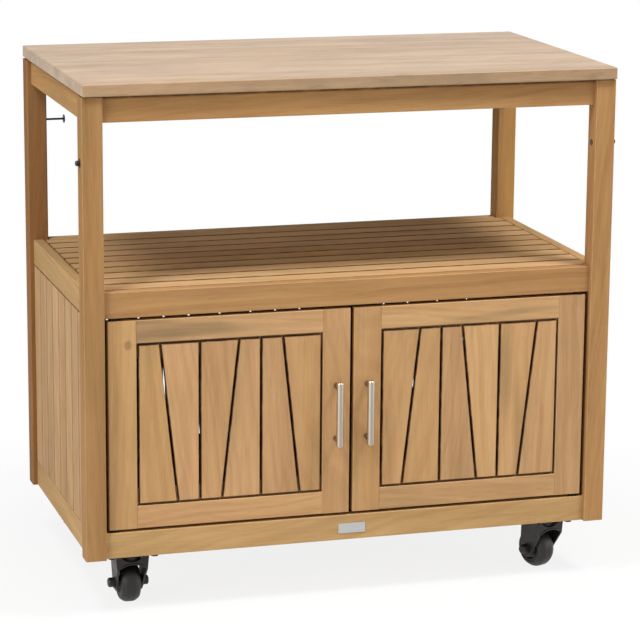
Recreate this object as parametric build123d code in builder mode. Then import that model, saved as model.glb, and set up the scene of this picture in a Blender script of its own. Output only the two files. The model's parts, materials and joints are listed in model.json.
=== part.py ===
"""Outdoor kitchen cabinet: worktop, open bay, slatted shelf and two-door cupboard on four casters.

Millimetres, +Z up, +X to the right and -Y to the front. The origin is on the floor, below the middle of the
box around the whole cabinet, handles included.
"""

import math
import os

from build123d import *

# Frame of posts and rails
frame_width = 1000.0
frame_depth = 550.0
post_size = 38.0
post_height = 842.0
post_round = 2.5
rail_height = 48.0
rail_thickness = 20.0
rail_round = 2.0
tenon_length = 12.0
tenon_thickness = 10.0
tenon_shoulder = 8.0
mortise_clearance = 0.2

# Worktop, carried by the aprons a little above the posts
worktop_thickness = 22.0
worktop_round = 2.5
worktop_gap = 2.0
worktop_front = 7.0
worktop_back = 6.0
worktop_side_inset = 1.0

# Slatted shelf, its top measured from the bottom of the posts
shelf_height = 493.0
slat_count = 10
slat_gap = 8.0
slat_end_gap = 3.0
slat_thickness = 18.0
slat_round = 1.5
bearer_width = 20.0

# Side walls of upright boards
board_count = 8
board_thickness = 12.0
board_gap = 0.4
board_chamfer = 1.6

# Tapering planks of the doors and of the back wall
plank_gap = 4.5
back_plank_gap = 6.0
plank_lean = 16.0
plank_chamfer = 0.8
door_plank_thickness = 10.0
door_plank_pairs = 3
back_plank_thickness = 12.0
back_plank_pairs = 8
batten_height = 30.0
back_batten_thickness = 12.0

# Cupboard floor and the bearers that carry the casters
floor_board_count = 6
floor_board_thickness = 12.0
floor_board_gap = 3.0
floor_bearer_margin = 2.5
floor_bearer_thickness = 20.0
floor_bearer_clearance = 2.0

# Doors
door_thickness = 18.0
door_side_gap = 7.0
door_centre_gap = 7.0
door_end_gap = 5.5
door_stile = 52.0
door_rail = 42.0
door_round = 1.5
door_tenon_length = 15.0
door_tenon_thickness = 6.0
door_tenon_shoulder = 6.0

# Hinge pins and their bushes
pivot_inset = 12.0
pin_radius = 3.0
pin_in_door = 30.0
pin_in_bush = 16.0
bush_radius = 6.0
bush_end = 2.0
bush_flange_radius = 8.0
bush_flange_clearance = 0.4
running_clearance = 0.05
seat_clearance = 0.05

# Bar handles
handle_bar_radius = 5.5
handle_spacing = 96.0
handle_overhang = 11.0
handle_projection = 31.0
handle_post_radius = 4.5
handle_chamfer = 0.8
screw_radius = 2.0
screw_grip = 10.0
screw_head_radius = 4.0
screw_head_height = 2.2

# Magnetic catch and the strike plates on the doors
strike_width = 30.0
strike_height = 12.0
strike_thickness = 1.5
strike_edge = 8.0
strike_drop = 3.0
catch_depth = 14.0
catch_height = 18.0
catch_wall = 2.5
catch_clearance = 0.4

# Bare plate on the front bottom rail
plate_width = 52.0
plate_height = 19.0
plate_thickness = 1.2
plate_corner = 1.5
plate_lift = 22.5
plate_shift = 2.5

# Fittings on the posts, measured down from the underside of the aprons
fitting_drop = 71.0
peg_radius = 2.0
peg_reach = 38.0
peg_disc_radius = 8.0
peg_disc_thickness = 2.0
peg_in_post = 16.0
post_bolt_radius = 3.0
post_bolt_head_radius = 5.0
post_bolt_head_height = 1.5
washer_radius = 8.0
washer_thickness = 1.5
cap_nut_radius = 5.0
cap_nut_height = 6.5
cap_nut_round = 3.0

# Casters
caster_plate_thickness = 2.8
caster_plate_corner = 6.0
bolt_spacing_x = 80.0
bolt_spacing_y = 60.0
bolt_plate_edge = 12.5
bolt_bearer_end = 11.0
bolt_radius = 3.5
bolt_end = 3.0
bolt_head_across = 13.0
bolt_head_height = 5.5
bolt_washer_radius = 8.0
bolt_washer_thickness = 1.8
race_radius = 22.0
race_height = 7.6
king_pin_radius = 5.0
king_pin_head_radius = 9.0
king_pin_head_height = 3.6
swivel_clearance = 0.4
fork_width = 62.0
fork_depth = 50.0
fork_gauge = 3.0
fork_skirt = 26.0
fork_arch_drop = 15.0
fork_arch_radius = 41.0
fork_axle_width = 51.0
fork_saddle_drop = 11.0
fork_saddle_radius = 28.0
fork_saddle_depth = 5.0
fork_end_radius = 17.0
fork_boss_radius = 12.0
fork_boss_rise = 0.5
wheel_radius = 37.5
wheel_headroom = 15.2
wheel_width = 34.0
wheel_crown = 1.2
wheel_shoulder = 5.0
wheel_shoulder_drop = 6.0
wheel_rim = 9.0
wheel_dish = 5.0
hub_radius = 12.0
hub_taper = 1.0
caster_trail = 16.0
axle_radius = 4.0
axle_nut_radius = 9.0
axle_nut_height = 11.0
axle_nut_round = 4.0
# How far each fork is turned on its king pin, in degrees
caster_turns = {"front_left": 0.0, "front_right": 19.0, "back_left": 0.0, "back_right": 0.0}

# Places worked out from the sizes above
rail_inset = (post_size - rail_thickness) / 2
span_x = frame_width - 2 * post_size
span_y = frame_depth - 2 * post_size
inner_width = frame_width - 2 * (rail_inset + rail_thickness)
inner_depth = frame_depth - 2 * (rail_inset + rail_thickness)
front_reach = max(handle_projection - rail_inset, worktop_front)
y_mid = (front_reach - worktop_back) / 2
post_x = (frame_width - post_size) / 2
post_y = (frame_depth - post_size) / 2
front_face_y = y_mid - frame_depth / 2 + rail_inset
caster_plate_width = bolt_spacing_x + 2 * bolt_plate_edge
caster_plate_depth = bolt_spacing_y + 2 * bolt_plate_edge
swivel_height = race_height + fork_gauge + king_pin_head_height + 2 * swivel_clearance
caster_height = 2 * wheel_radius + wheel_headroom + swivel_height + caster_plate_thickness
z_frame = caster_height
z_shelf = z_frame + shelf_height
z_worktop = z_frame + post_height + worktop_gap
z_bottom_rail = z_frame
z_shelf_rail = z_shelf - rail_height
z_apron = z_worktop - rail_height
z_fitting = z_apron - fitting_drop
tenon_height = rail_height - 2 * tenon_shoulder

door_width = (span_x - 2 * door_side_gap - door_centre_gap) / 2
door_low = z_bottom_rail + rail_height + door_end_gap
door_high = z_shelf_rail - door_end_gap
door_height = door_high - door_low
door_middle = (door_low + door_high) / 2
door_y = front_face_y + door_thickness / 2
door_back_y = front_face_y + door_thickness
pivot_x = span_x / 2 - door_side_gap - pivot_inset
bush_length = pin_in_bush + bush_end

# Each corner's name, with its side along X and along Y
corners = [
    ("front_left", -1, -1),
    ("front_right", 1, -1),
    ("back_left", -1, 1),
    ("back_right", 1, 1),
]


def keep(piece, name):
    """Label a finished piece and write it under its own name."""
    piece.label = name
    export_step(piece, f"parts/{name}.step")


def facing_front(y):
    """An upright plane at a given depth, drawn in X and Z and looking to the front."""
    return Plane(origin=(0, y, 0), x_dir=(1, 0, 0), z_dir=(0, -1, 0))


os.makedirs("parts", exist_ok=True)

# Worktop
worktop_depth = frame_depth + worktop_front + worktop_back
worktop_y = y_mid + (worktop_back - worktop_front) / 2
with BuildPart(Plane((0, worktop_y, z_worktop))) as worktop:
    Box(
        frame_width - 2 * worktop_side_inset,
        worktop_depth,
        worktop_thickness,
        align=(Align.CENTER, Align.CENTER, Align.MIN),
    )
    fillet(worktop.edges(), worktop_round)
keep(worktop.part, "worktop")

# Posts, with a mortise for each rail and holes for the fittings
mortise_depth = tenon_length + mortise_clearance
mortise_width = tenon_thickness + 2 * mortise_clearance
mortise_height = tenon_height + 2 * mortise_clearance
mortise_offset = (post_size - mortise_depth) / 2
for corner, sx, sy in corners:
    with BuildPart(Plane((sx * post_x, y_mid + sy * post_y, z_frame))) as post:
        Box(post_size, post_size, post_height, align=(Align.CENTER, Align.CENTER, Align.MIN))
        fillet(post.edges().filter_by(Axis.Z), post_round)
        for rail_low in (z_bottom_rail, z_shelf_rail, z_apron):
            mortise_z = rail_low + rail_height / 2 - z_frame
            with Locations((-sx * mortise_offset, 0, mortise_z)):
                Box(mortise_depth, mortise_width, mortise_height, mode=Mode.SUBTRACT)
            with Locations((0, -sy * mortise_offset, mortise_z)):
                Box(mortise_width, mortise_depth, mortise_height, mode=Mode.SUBTRACT)
        if sy < 0:
            with Locations((0, 0, z_fitting - z_frame)):
                Cylinder(
                    post_bolt_radius + seat_clearance,
                    2 * post_size,
                    rotation=(0, 90, 0),
                    mode=Mode.SUBTRACT,
                )
        elif sx < 0:
            with Locations((post_size / 2, 0, z_fitting - z_frame)):
                Cylinder(
                    peg_radius + seat_clearance,
                    2 * peg_in_post,
                    rotation=(0, 90, 0),
                    mode=Mode.SUBTRACT,
                )
    keep(post.part, f"{corner}_post")


def make_rail(middle, length, bush_side=0):
    """A rail with a stub tenon at each end.

    middle is the plane at the rail's centre with its x direction along the rail. bush_side is 1 or -1 where
    the top or the bottom face takes the bushes of the doors.
    """
    with BuildPart(middle) as rail:
        Box(length, rail_thickness, rail_height)
        fillet(rail.edges().filter_by(Axis(middle.origin, middle.x_dir)), rail_round)
        Box(length + 2 * tenon_length, tenon_thickness, tenon_height)
        if bush_side:
            pivot_y = (door_thickness - rail_thickness) / 2
            with Locations(*[(side * pivot_x, pivot_y, bush_side * rail_height / 2) for side in (-1, 1)]):
                Cylinder(bush_radius + seat_clearance, 2 * bush_length, mode=Mode.SUBTRACT)
    return rail.part


# Bottom rails, shelf rails and aprons
for level, rail_low in (("bottom_rail", z_bottom_rail), ("shelf_rail", z_shelf_rail), ("apron", z_apron)):
    rail_z = rail_low + rail_height / 2
    bush_sides = {"bottom_rail": 1, "shelf_rail": -1, "apron": 0}
    front = Plane((0, y_mid - post_y, rail_z))
    back = Plane((0, y_mid + post_y, rail_z))
    left = Plane((-post_x, y_mid, rail_z), x_dir=(0, 1, 0))
    right = Plane((post_x, y_mid, rail_z), x_dir=(0, 1, 0))
    keep(make_rail(front, span_x, bush_sides[level]), f"front_{level}")
    keep(make_rail(back, span_x), f"back_{level}")
    keep(make_rail(left, span_y), f"left_{level}")
    keep(make_rail(right, span_y), f"right_{level}")

# Shelf slats, notched round the posts
slat_width = (inner_depth - 2 * slat_end_gap - (slat_count - 1) * slat_gap) / slat_count
slat_length = inner_width - 2 * slat_end_gap
slat_notch = post_size + 2 * slat_end_gap
with BuildPart(Plane((0, y_mid, z_shelf - slat_thickness))) as shelf_slats:
    with GridLocations(0, slat_width + slat_gap, 1, slat_count):
        Box(slat_length, slat_width, slat_thickness, align=(Align.CENTER, Align.CENTER, Align.MIN))
    fillet(shelf_slats.edges().filter_by(Axis.X).group_by(Axis.Z)[-1], slat_round)
    with GridLocations(2 * post_x, 2 * post_y, 2, 2):
        Box(slat_notch, slat_notch, 3 * slat_thickness, mode=Mode.SUBTRACT)
keep(shelf_slats.part, "shelf_slats")

# Shelf bearers: one along each side rail and one in the middle
bearer_height = rail_height - slat_thickness
with BuildPart(Plane((0, y_mid, z_shelf_rail))) as shelf_bearers:
    with GridLocations(inner_width - bearer_width, 0, 2, 1):
        Box(bearer_width, span_y, bearer_height, align=(Align.CENTER, Align.CENTER, Align.MIN))
    Box(bearer_width, inner_depth, bearer_height, align=(Align.CENTER, Align.CENTER, Align.MIN))
keep(shelf_bearers.part, "shelf_bearers")

# Side walls between the bottom rails and the shelf rails
wall_low = z_bottom_rail + rail_height
wall_height = z_shelf_rail - wall_low
board_pitch = span_y / board_count
board_x = frame_width / 2 - rail_inset - board_thickness / 2
for side, sx in (("left", -1), ("right", 1)):
    with BuildPart(Plane((sx * board_x, y_mid, wall_low))) as side_boards:
        with GridLocations(0, board_pitch, 1, board_count):
            Box(
                board_thickness,
                board_pitch - board_gap,
                wall_height,
                align=(Align.CENTER, Align.CENTER, Align.MIN),
            )
        outer_faces = side_boards.faces().filter_by(Axis.X).group_by(Axis.X)[0 if sx < 0 else -1]
        chamfer(outer_faces.edges(), board_chamfer)
    keep(side_boards.part, f"{side}_side_boards")


def plank_outlines(start, direction, width, pairs, low, high, gap):
    """Outlines of tapering planks side by side, as corner points in X and Z.

    The width is split into equal pairs. The gap inside each pair leans, to one side in the first pair, to
    the other in the next, and so on. direction is 1 or -1, the way the pairs are counted along X.
    """
    pitch = (width - gap) / pairs
    gaps = []
    for pair in range(pairs):
        lean = plank_lean if pair % 2 == 0 else -plank_lean
        gaps.append((pair * pitch, pair * pitch))
        gaps.append(((pair + 0.5) * pitch + lean, (pair + 0.5) * pitch - lean))
    gaps.append((pairs * pitch, pairs * pitch))
    outlines = []
    for (foot, head), (next_foot, next_head) in zip(gaps, gaps[1:]):
        across = ((foot + gap, low), (next_foot, low), (next_head, high), (head + gap, high))
        outlines.append([(start + direction * u, v) for u, v in across])
    return outlines


# Back wall of tapering planks on two battens
back_low = wall_low + back_plank_gap
back_high = z_shelf_rail - back_plank_gap
back_plank_y = y_mid + post_y - back_plank_thickness / 2
back_outlines = plank_outlines(
    -span_x / 2, 1, span_x, back_plank_pairs, back_low, back_high, back_plank_gap
)
with BuildPart() as back_planks:
    with BuildSketch(facing_front(back_plank_y)):
        for outline in back_outlines:
            Polygon(*outline, align=None)
    extrude(amount=-back_plank_thickness)
    chamfer(back_planks.faces().filter_by(Axis.Y).edges(), plank_chamfer)
keep(back_planks.part, "back_planks")

batten_lift = (wall_height - batten_height) / 2
back_batten_y = back_plank_y - back_batten_thickness / 2
with BuildPart(Plane((0, back_batten_y, wall_low + wall_height / 2))) as back_battens:
    with Locations((0, 0, -batten_lift), (0, 0, batten_lift)):
        Box(span_x, back_batten_thickness, batten_height)
keep(back_battens.part, "back_battens")

# Cupboard floor: boards along the width on three bearers
floor_board_width = (inner_depth - (floor_board_count + 1) * floor_board_gap) / floor_board_count
floor_board_length = span_x - 2 * floor_board_gap
with BuildPart(Plane((0, y_mid, z_frame + floor_bearer_thickness))) as floor_boards:
    with GridLocations(0, floor_board_width + floor_board_gap, 1, floor_board_count):
        Box(
            floor_board_length,
            floor_board_width,
            floor_board_thickness,
            align=(Align.CENTER, Align.CENTER, Align.MIN),
        )
    fillet(floor_boards.edges().filter_by(Axis.X).group_by(Axis.Z)[-1], slat_round)
keep(floor_boards.part, "floor_boards")

# Casters stand under the outer two of the floor bearers
floor_bearer_width = caster_plate_width + 2 * floor_bearer_margin
caster_x = span_x / 2 - floor_bearer_clearance - floor_bearer_width / 2
caster_y = inner_depth / 2 - bolt_bearer_end - bolt_spacing_y / 2
bolt_in_bearer = floor_bearer_thickness - bolt_end
caster_places = {corner: (sx * caster_x, y_mid + sy * caster_y, z_frame) for corner, sx, sy in corners}
with BuildPart(Plane((0, y_mid, z_frame))) as floor_bearers:
    with GridLocations(caster_x, 0, 3, 1):
        Box(
            floor_bearer_width,
            inner_depth,
            floor_bearer_thickness,
            align=(Align.CENTER, Align.CENTER, Align.MIN),
        )
    with GridLocations(2 * caster_x, 2 * caster_y, 2, 2):
        with GridLocations(bolt_spacing_x, bolt_spacing_y, 2, 2):
            Cylinder(bolt_radius + seat_clearance, 2 * bolt_in_bearer, mode=Mode.SUBTRACT)
keep(floor_bearers.part, "floor_bearers")

# Doors: the left one, and the right one as its mirror image
opening_width = door_width - 2 * door_stile
opening_low = door_low + door_rail
opening_high = door_high - door_rail
door_batten_thickness = door_thickness - door_plank_thickness
door_tenon_height = door_rail - 2 * door_tenon_shoulder
door_rail_lift = (door_height - door_rail) / 2
handle_length = handle_spacing + 2 * handle_overhang
bar_y = front_face_y - handle_projection + handle_bar_radius
bush_flange = door_end_gap - bush_flange_clearance
catch_front_y = door_back_y + strike_thickness + catch_clearance
for side, sx in (("left", -1), ("right", 1)):
    hinge_edge = sx * (span_x / 2 - door_side_gap)
    free_edge = hinge_edge - sx * door_width
    hinge_stile_x = hinge_edge - sx * door_stile / 2
    handle_x = free_edge + sx * door_stile / 2
    door_centre_x = (hinge_edge + free_edge) / 2
    tenon_x = opening_width / 2 + door_tenon_length / 2

    with BuildPart(Plane((0, door_y, door_middle))) as door_stiles:
        with Locations((hinge_stile_x, 0), (handle_x, 0)):
            Box(door_stile, door_thickness, door_height)
        fillet(door_stiles.edges().filter_by(Axis.Z), door_round)
        with Locations((door_centre_x, 0)):
            with GridLocations(2 * tenon_x, 0, 2, 1):
                with Locations((0, 0, -door_rail_lift), (0, 0, door_rail_lift)):
                    Box(
                        door_tenon_length + 2 * mortise_clearance,
                        door_tenon_thickness + 2 * mortise_clearance,
                        door_tenon_height + 2 * mortise_clearance,
                        mode=Mode.SUBTRACT,
                    )
        with Locations((sx * pivot_x, 0, -door_height / 2), (sx * pivot_x, 0, door_height / 2)):
            Cylinder(pin_radius + seat_clearance, 2 * pin_in_door, mode=Mode.SUBTRACT)
        with Locations((handle_x, 0, -handle_spacing / 2), (handle_x, 0, handle_spacing / 2)):
            Cylinder(
                screw_radius + seat_clearance,
                2 * door_thickness,
                rotation=(90, 0, 0),
                mode=Mode.SUBTRACT,
            )
    keep(door_stiles.part, f"{side}_door_stiles")

    with BuildPart(Plane((door_centre_x, door_y, door_middle))) as door_rails:
        with Locations((0, 0, -door_rail_lift), (0, 0, door_rail_lift)):
            Box(opening_width, door_thickness, door_rail)
        fillet(door_rails.edges().filter_by(Axis.X), door_round)
        with Locations((0, 0, -door_rail_lift), (0, 0, door_rail_lift)):
            Box(opening_width + 2 * door_tenon_length, door_tenon_thickness, door_tenon_height)
    keep(door_rails.part, f"{side}_door_rails")

    outlines = plank_outlines(
        hinge_edge - sx * door_stile,
        -sx,
        opening_width,
        door_plank_pairs,
        opening_low + plank_gap,
        opening_high - plank_gap,
        plank_gap,
    )
    with BuildPart() as door_planks:
        with BuildSketch(facing_front(front_face_y)):
            for outline in outlines:
                Polygon(*outline, align=None)
        extrude(amount=-door_plank_thickness)
        chamfer(door_planks.faces().filter_by(Axis.Y).group_by(Axis.Y)[0].edges(), plank_chamfer)
    keep(door_planks.part, f"{side}_door_planks")

    door_batten_lift = (opening_high - opening_low - batten_height) / 2
    with BuildPart(Plane((door_centre_x, door_back_y, door_middle))) as door_battens:
        with Locations((0, 0, -door_batten_lift), (0, 0, door_batten_lift)):
            Box(
                opening_width,
                door_batten_thickness,
                batten_height,
                align=(Align.CENTER, Align.MAX, Align.CENTER),
            )
    keep(door_battens.part, f"{side}_door_battens")

    pin_length = pin_in_door + door_end_gap + pin_in_bush
    with BuildPart(Plane((sx * pivot_x, door_y, 0))) as hinge_pins:
        with Locations((0, 0, door_low + pin_in_door - pin_length), (0, 0, door_high - pin_in_door)):
            Cylinder(pin_radius, pin_length, align=(Align.CENTER, Align.CENTER, Align.MIN))
    keep(hinge_pins.part, f"{side}_hinge_pins")

    with BuildPart(Plane((handle_x, bar_y, door_middle))) as handle:
        Cylinder(handle_bar_radius, handle_length)
        chamfer(handle.edges().filter_by(GeomType.CIRCLE), handle_chamfer)
        with Locations((0, 0, -handle_spacing / 2), (0, 0, handle_spacing / 2)):
            Cylinder(
                handle_post_radius,
                handle_projection - handle_bar_radius,
                rotation=(-90, 0, 0),
                align=(Align.CENTER, Align.CENTER, Align.MIN),
            )
        with Locations(*[(0, front_face_y - bar_y, lift * handle_spacing / 2) for lift in (-1, 1)]):
            Cylinder(screw_radius + seat_clearance, 2 * screw_grip, rotation=(90, 0, 0), mode=Mode.SUBTRACT)
    keep(handle.part, f"{side}_handle")

    with BuildPart(Plane((handle_x, door_back_y, door_middle))) as handle_screws:
        with Locations((0, 0, -handle_spacing / 2), (0, 0, handle_spacing / 2)):
            Cylinder(
                screw_radius,
                door_thickness + screw_grip,
                rotation=(90, 0, 0),
                align=(Align.CENTER, Align.CENTER, Align.MIN),
            )
            Cylinder(
                screw_head_radius,
                screw_head_height,
                rotation=(-90, 0, 0),
                align=(Align.CENTER, Align.CENTER, Align.MIN),
            )
        fillet(handle_screws.edges().filter_by(GeomType.CIRCLE).group_by(Axis.Y)[-1], screw_head_height / 2)
    keep(handle_screws.part, f"{side}_handle_screws")

    strike_x = free_edge + sx * (strike_edge + strike_width / 2)
    with BuildPart(Plane((strike_x, door_back_y, door_high - strike_drop))) as strike_plate:
        Box(strike_width, strike_thickness, strike_height, align=(Align.CENTER, Align.MIN, Align.MAX))
    keep(strike_plate.part, f"{side}_strike_plate")

# Bushes in the front rails, each with a flange that the door turns on
with BuildPart(Plane((0, door_y, 0))) as pivot_bushes:
    for sx in (-1, 1):
        for face_z, into_rail in ((z_bottom_rail + rail_height, -1), (z_shelf_rail, 1)):
            with Locations((sx * pivot_x, 0, face_z + into_rail * (bush_length - bush_flange) / 2)):
                Cylinder(bush_radius, bush_length + bush_flange)
            with Locations((sx * pivot_x, 0, face_z - into_rail * bush_flange / 2)):
                Cylinder(bush_flange_radius, bush_flange)
    with Locations((pivot_x, 0, door_middle), (-pivot_x, 0, door_middle)):
        Cylinder(pin_radius + running_clearance, 2 * door_height, mode=Mode.SUBTRACT)
keep(pivot_bushes.part, "pivot_bushes")

# Double magnetic catch under the middle shelf bearer: a case with a magnet in a pocket for each door
catch_width = door_centre_gap + 2 * (2 * strike_edge + strike_width)
magnet_x = door_centre_gap / 2 + strike_edge + strike_width / 2
magnet_height = catch_height - 2 * catch_wall
magnet_depth = catch_depth - catch_wall
with BuildPart(Plane((0, catch_front_y, z_shelf_rail))) as magnetic_catch:
    Box(catch_width, catch_depth, catch_height, align=(Align.CENTER, Align.MIN, Align.MAX))
    fillet(magnetic_catch.edges().filter_by(Axis.Z), catch_wall / 2)
    with Locations((-magnet_x, 0, -catch_height / 2), (magnet_x, 0, -catch_height / 2)):
        Box(
            strike_width + 2 * seat_clearance,
            magnet_depth + seat_clearance,
            magnet_height + 2 * seat_clearance,
            align=(Align.CENTER, Align.MIN, Align.CENTER),
            mode=Mode.SUBTRACT,
        )
        Box(strike_width, magnet_depth, magnet_height, align=(Align.CENTER, Align.MIN, Align.CENTER))
keep(magnetic_catch.part, "magnetic_catch")

# Bare metal plate on the front bottom rail
with BuildPart() as rail_plate:
    with BuildSketch(facing_front(front_face_y)):
        with Locations((plate_shift, z_frame + plate_lift)):
            RectangleRounded(plate_width, plate_height, plate_corner)
    extrude(amount=plate_thickness)
keep(rail_plate.part, "rail_plate")

# Peg with an end disc, screwed into the inner face of the back left post
peg_x = -post_x + post_size / 2
with BuildPart(Plane((peg_x, y_mid + post_y, z_fitting))) as utensil_peg:
    with Locations((-peg_in_post, 0)):
        Cylinder(
            peg_radius,
            peg_in_post + peg_reach,
            rotation=(0, 90, 0),
            align=(Align.CENTER, Align.CENTER, Align.MIN),
        )
    with Locations((peg_reach - peg_disc_thickness, 0)):
        Cylinder(
            peg_disc_radius,
            peg_disc_thickness,
            rotation=(0, 90, 0),
            align=(Align.CENTER, Align.CENTER, Align.MIN),
        )
    fillet(utensil_peg.edges().filter_by(GeomType.CIRCLE).group_by(Axis.X)[-1], peg_disc_thickness / 3)
keep(utensil_peg.part, "utensil_peg")

# Bolts through the front posts, head inside, washer and cap nut outside
post_bolt_length = post_size + washer_thickness + cap_nut_height / 2
with BuildPart(Plane((0, y_mid - post_y, z_fitting))) as post_bolts:
    with Locations((frame_width / 2, 0)):
        Cylinder(
            cap_nut_radius,
            washer_thickness + cap_nut_height,
            rotation=(0, 90, 0),
            align=(Align.CENTER, Align.CENTER, Align.MIN),
        )
        fillet(post_bolts.edges().filter_by(GeomType.CIRCLE).group_by(Axis.X)[-1], cap_nut_round)
        Cylinder(
            washer_radius,
            washer_thickness,
            rotation=(0, 90, 0),
            align=(Align.CENTER, Align.CENTER, Align.MIN),
        )
        Cylinder(
            post_bolt_radius + seat_clearance,
            2 * (washer_thickness + cap_nut_height / 2 + seat_clearance),
            rotation=(0, 90, 0),
            mode=Mode.SUBTRACT,
        )
    with Locations((frame_width / 2 - post_size, 0)):
        Cylinder(
            post_bolt_radius,
            post_bolt_length,
            rotation=(0, 90, 0),
            align=(Align.CENTER, Align.CENTER, Align.MIN),
        )
        Cylinder(
            post_bolt_head_radius,
            post_bolt_head_height,
            rotation=(0, -90, 0),
            align=(Align.CENTER, Align.CENTER, Align.MIN),
        )
    mirror(about=Plane.YZ)
keep(post_bolts.part, "post_bolts")

# Caster pieces around their swivel axis, with z = 0 at the top of the plate
race_low = -caster_plate_thickness - race_height
crown_top = race_low - swivel_clearance
crown_low = crown_top - fork_gauge
axle_z = wheel_radius - caster_height
leg_lean = math.atan2((fork_width - fork_axle_width) / 2, crown_top - axle_z)
boss_reach = fork_boss_radius * math.tan(leg_lean) + fork_boss_rise
fork_boss_outer = fork_axle_width / 2 + boss_reach
fork_boss_inner = fork_axle_width / 2 - fork_gauge / math.cos(leg_lean) - boss_reach

with BuildPart() as caster_plate:
    with BuildSketch() as plate_outline:
        RectangleRounded(caster_plate_width, caster_plate_depth, caster_plate_corner)
        with GridLocations(bolt_spacing_x, bolt_spacing_y, 2, 2):
            Circle(bolt_radius + seat_clearance, mode=Mode.SUBTRACT)
    extrude(amount=-caster_plate_thickness)
    with Locations((0, 0, race_low)):
        Cylinder(race_radius, race_height, align=(Align.CENTER, Align.CENTER, Align.MIN))
    pin_head_top = crown_low - swivel_clearance
    with Locations((0, 0, pin_head_top - king_pin_head_height)):
        Cylinder(king_pin_radius, -pin_head_top, align=(Align.CENTER, Align.CENTER, Align.MIN))
        Cylinder(king_pin_head_radius, king_pin_head_height, align=(Align.CENTER, Align.CENTER, Align.MIN))

with BuildPart() as plate_bolt:
    Cylinder(bolt_radius, bolt_in_bearer, align=(Align.CENTER, Align.CENTER, Align.MIN))
    Cylinder(
        bolt_radius,
        caster_plate_thickness,
        align=(Align.CENTER, Align.CENTER, Align.MAX),
    )
    with Locations((0, 0, -caster_plate_thickness)):
        Cylinder(
            bolt_washer_radius,
            bolt_washer_thickness,
            align=(Align.CENTER, Align.CENTER, Align.MAX),
        )
    with BuildSketch(Plane.XY.offset(-caster_plate_thickness - bolt_washer_thickness)):
        RegularPolygon(bolt_head_across / 2, 6, major_radius=False)
    extrude(amount=-bolt_head_height)

with BuildPart() as fork:
    leg_plane = Plane(
        origin=(fork_width / 2, caster_trail, crown_top),
        x_dir=(0, 1, 0),
        z_dir=(math.cos(leg_lean), 0, -math.sin(leg_lean)),
    )
    leg_length = (crown_top - axle_z) / math.cos(leg_lean)
    with BuildSketch(leg_plane):
        with Locations((-caster_trail, -fork_skirt / 2)):
            Rectangle(fork_depth, fork_skirt)
        with Locations((0, -leg_length)):
            Circle(fork_end_radius)
        make_hull()
    extrude(amount=-fork_gauge)
    with Locations((fork_boss_inner, caster_trail, axle_z)):
        Cylinder(
            fork_boss_radius,
            fork_boss_outer - fork_boss_inner,
            rotation=(0, 90, 0),
            align=(Align.CENTER, Align.CENTER, Align.MIN),
        )
    mirror(about=Plane.YZ)
    with BuildSketch(Plane.XY.offset(crown_top)):
        Rectangle(fork_width, fork_depth)
    extrude(amount=-fork_gauge)
    web_low = crown_top - fork_skirt
    web_half = fork_width / 2 - fork_skirt * math.tan(leg_lean)
    with BuildSketch(facing_front(-fork_depth / 2)):
        Polygon(
            (-fork_width / 2, crown_top),
            (fork_width / 2, crown_top),
            (web_half, web_low),
            (-web_half, web_low),
            align=None,
        )
        with Locations((0, crown_top - fork_arch_drop - fork_arch_radius)):
            Circle(fork_arch_radius, mode=Mode.SUBTRACT)
    extrude(amount=-fork_gauge)
    with BuildSketch(facing_front(-fork_depth / 2)):
        with Locations((0, crown_top - fork_saddle_drop + fork_saddle_radius)):
            Circle(fork_saddle_radius)
    extrude(amount=-fork_saddle_depth, mode=Mode.SUBTRACT)
    with Locations((0, 0, crown_top)):
        Cylinder(king_pin_radius + running_clearance, 4 * fork_gauge, mode=Mode.SUBTRACT)
    with Locations((0, caster_trail, axle_z)):
        Cylinder(axle_radius + seat_clearance, 2 * fork_width, rotation=(0, 90, 0), mode=Mode.SUBTRACT)

with BuildPart(Plane((0, caster_trail, axle_z))) as axle:
    Cylinder(axle_radius, 2 * fork_boss_outer, rotation=(0, 90, 0))
    with Locations((fork_boss_outer, 0)):
        Cylinder(
            axle_nut_radius,
            axle_nut_height,
            rotation=(0, 90, 0),
            align=(Align.CENTER, Align.CENTER, Align.MIN),
        )
    fillet(axle.edges().filter_by(GeomType.CIRCLE).group_by(Axis.X)[-1], axle_nut_round)
    mirror(about=Plane.YZ)

with BuildPart() as wheel:
    half = wheel_width / 2
    hub_half = fork_boss_inner - swivel_clearance
    bore = axle_radius + running_clearance
    with BuildSketch(Plane(origin=(0, caster_trail, axle_z), x_dir=(1, 0, 0), z_dir=(0, -1, 0))):
        with BuildLine():
            shoulder = (half - wheel_shoulder, wheel_radius - wheel_crown)
            tread_middle = (shoulder[0] / 2, wheel_radius - wheel_crown / 4)
            tread = ThreePointArc((0, wheel_radius), tread_middle, shoulder)
            corner = TangentArc(shoulder, (half, shoulder[1] - wheel_shoulder_drop), tangent=tread % 1)
            rim_low = wheel_radius - wheel_rim - wheel_shoulder_drop
            Polyline(
                corner @ 1,
                (half, rim_low),
                (half - wheel_dish, rim_low - wheel_dish / 2),
                (half - wheel_dish, hub_radius),
                (hub_half, hub_radius - hub_taper),
                (hub_half, bore),
                (0, bore),
            )
            mirror(about=Plane.YZ)
        make_face()
    revolve(axis=Axis((0, caster_trail, axle_z), (1, 0, 0)))

# The four casters in place
with BuildPart() as caster_plates:
    with Locations(*caster_places.values()):
        add(caster_plate.part)
keep(caster_plates.part, "caster_plates")

with BuildPart() as caster_bolts:
    with Locations(*caster_places.values()):
        with GridLocations(bolt_spacing_x, bolt_spacing_y, 2, 2):
            add(plate_bolt.part)
keep(caster_bolts.part, "caster_bolts")

for corner, place in caster_places.items():
    turned = Location(place, (0, 0, caster_turns[corner]))
    keep(turned * fork.part, f"{corner}_fork")
    keep(turned * axle.part, f"{corner}_axle")
    keep(turned * wheel.part, f"{corner}_wheel")
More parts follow.
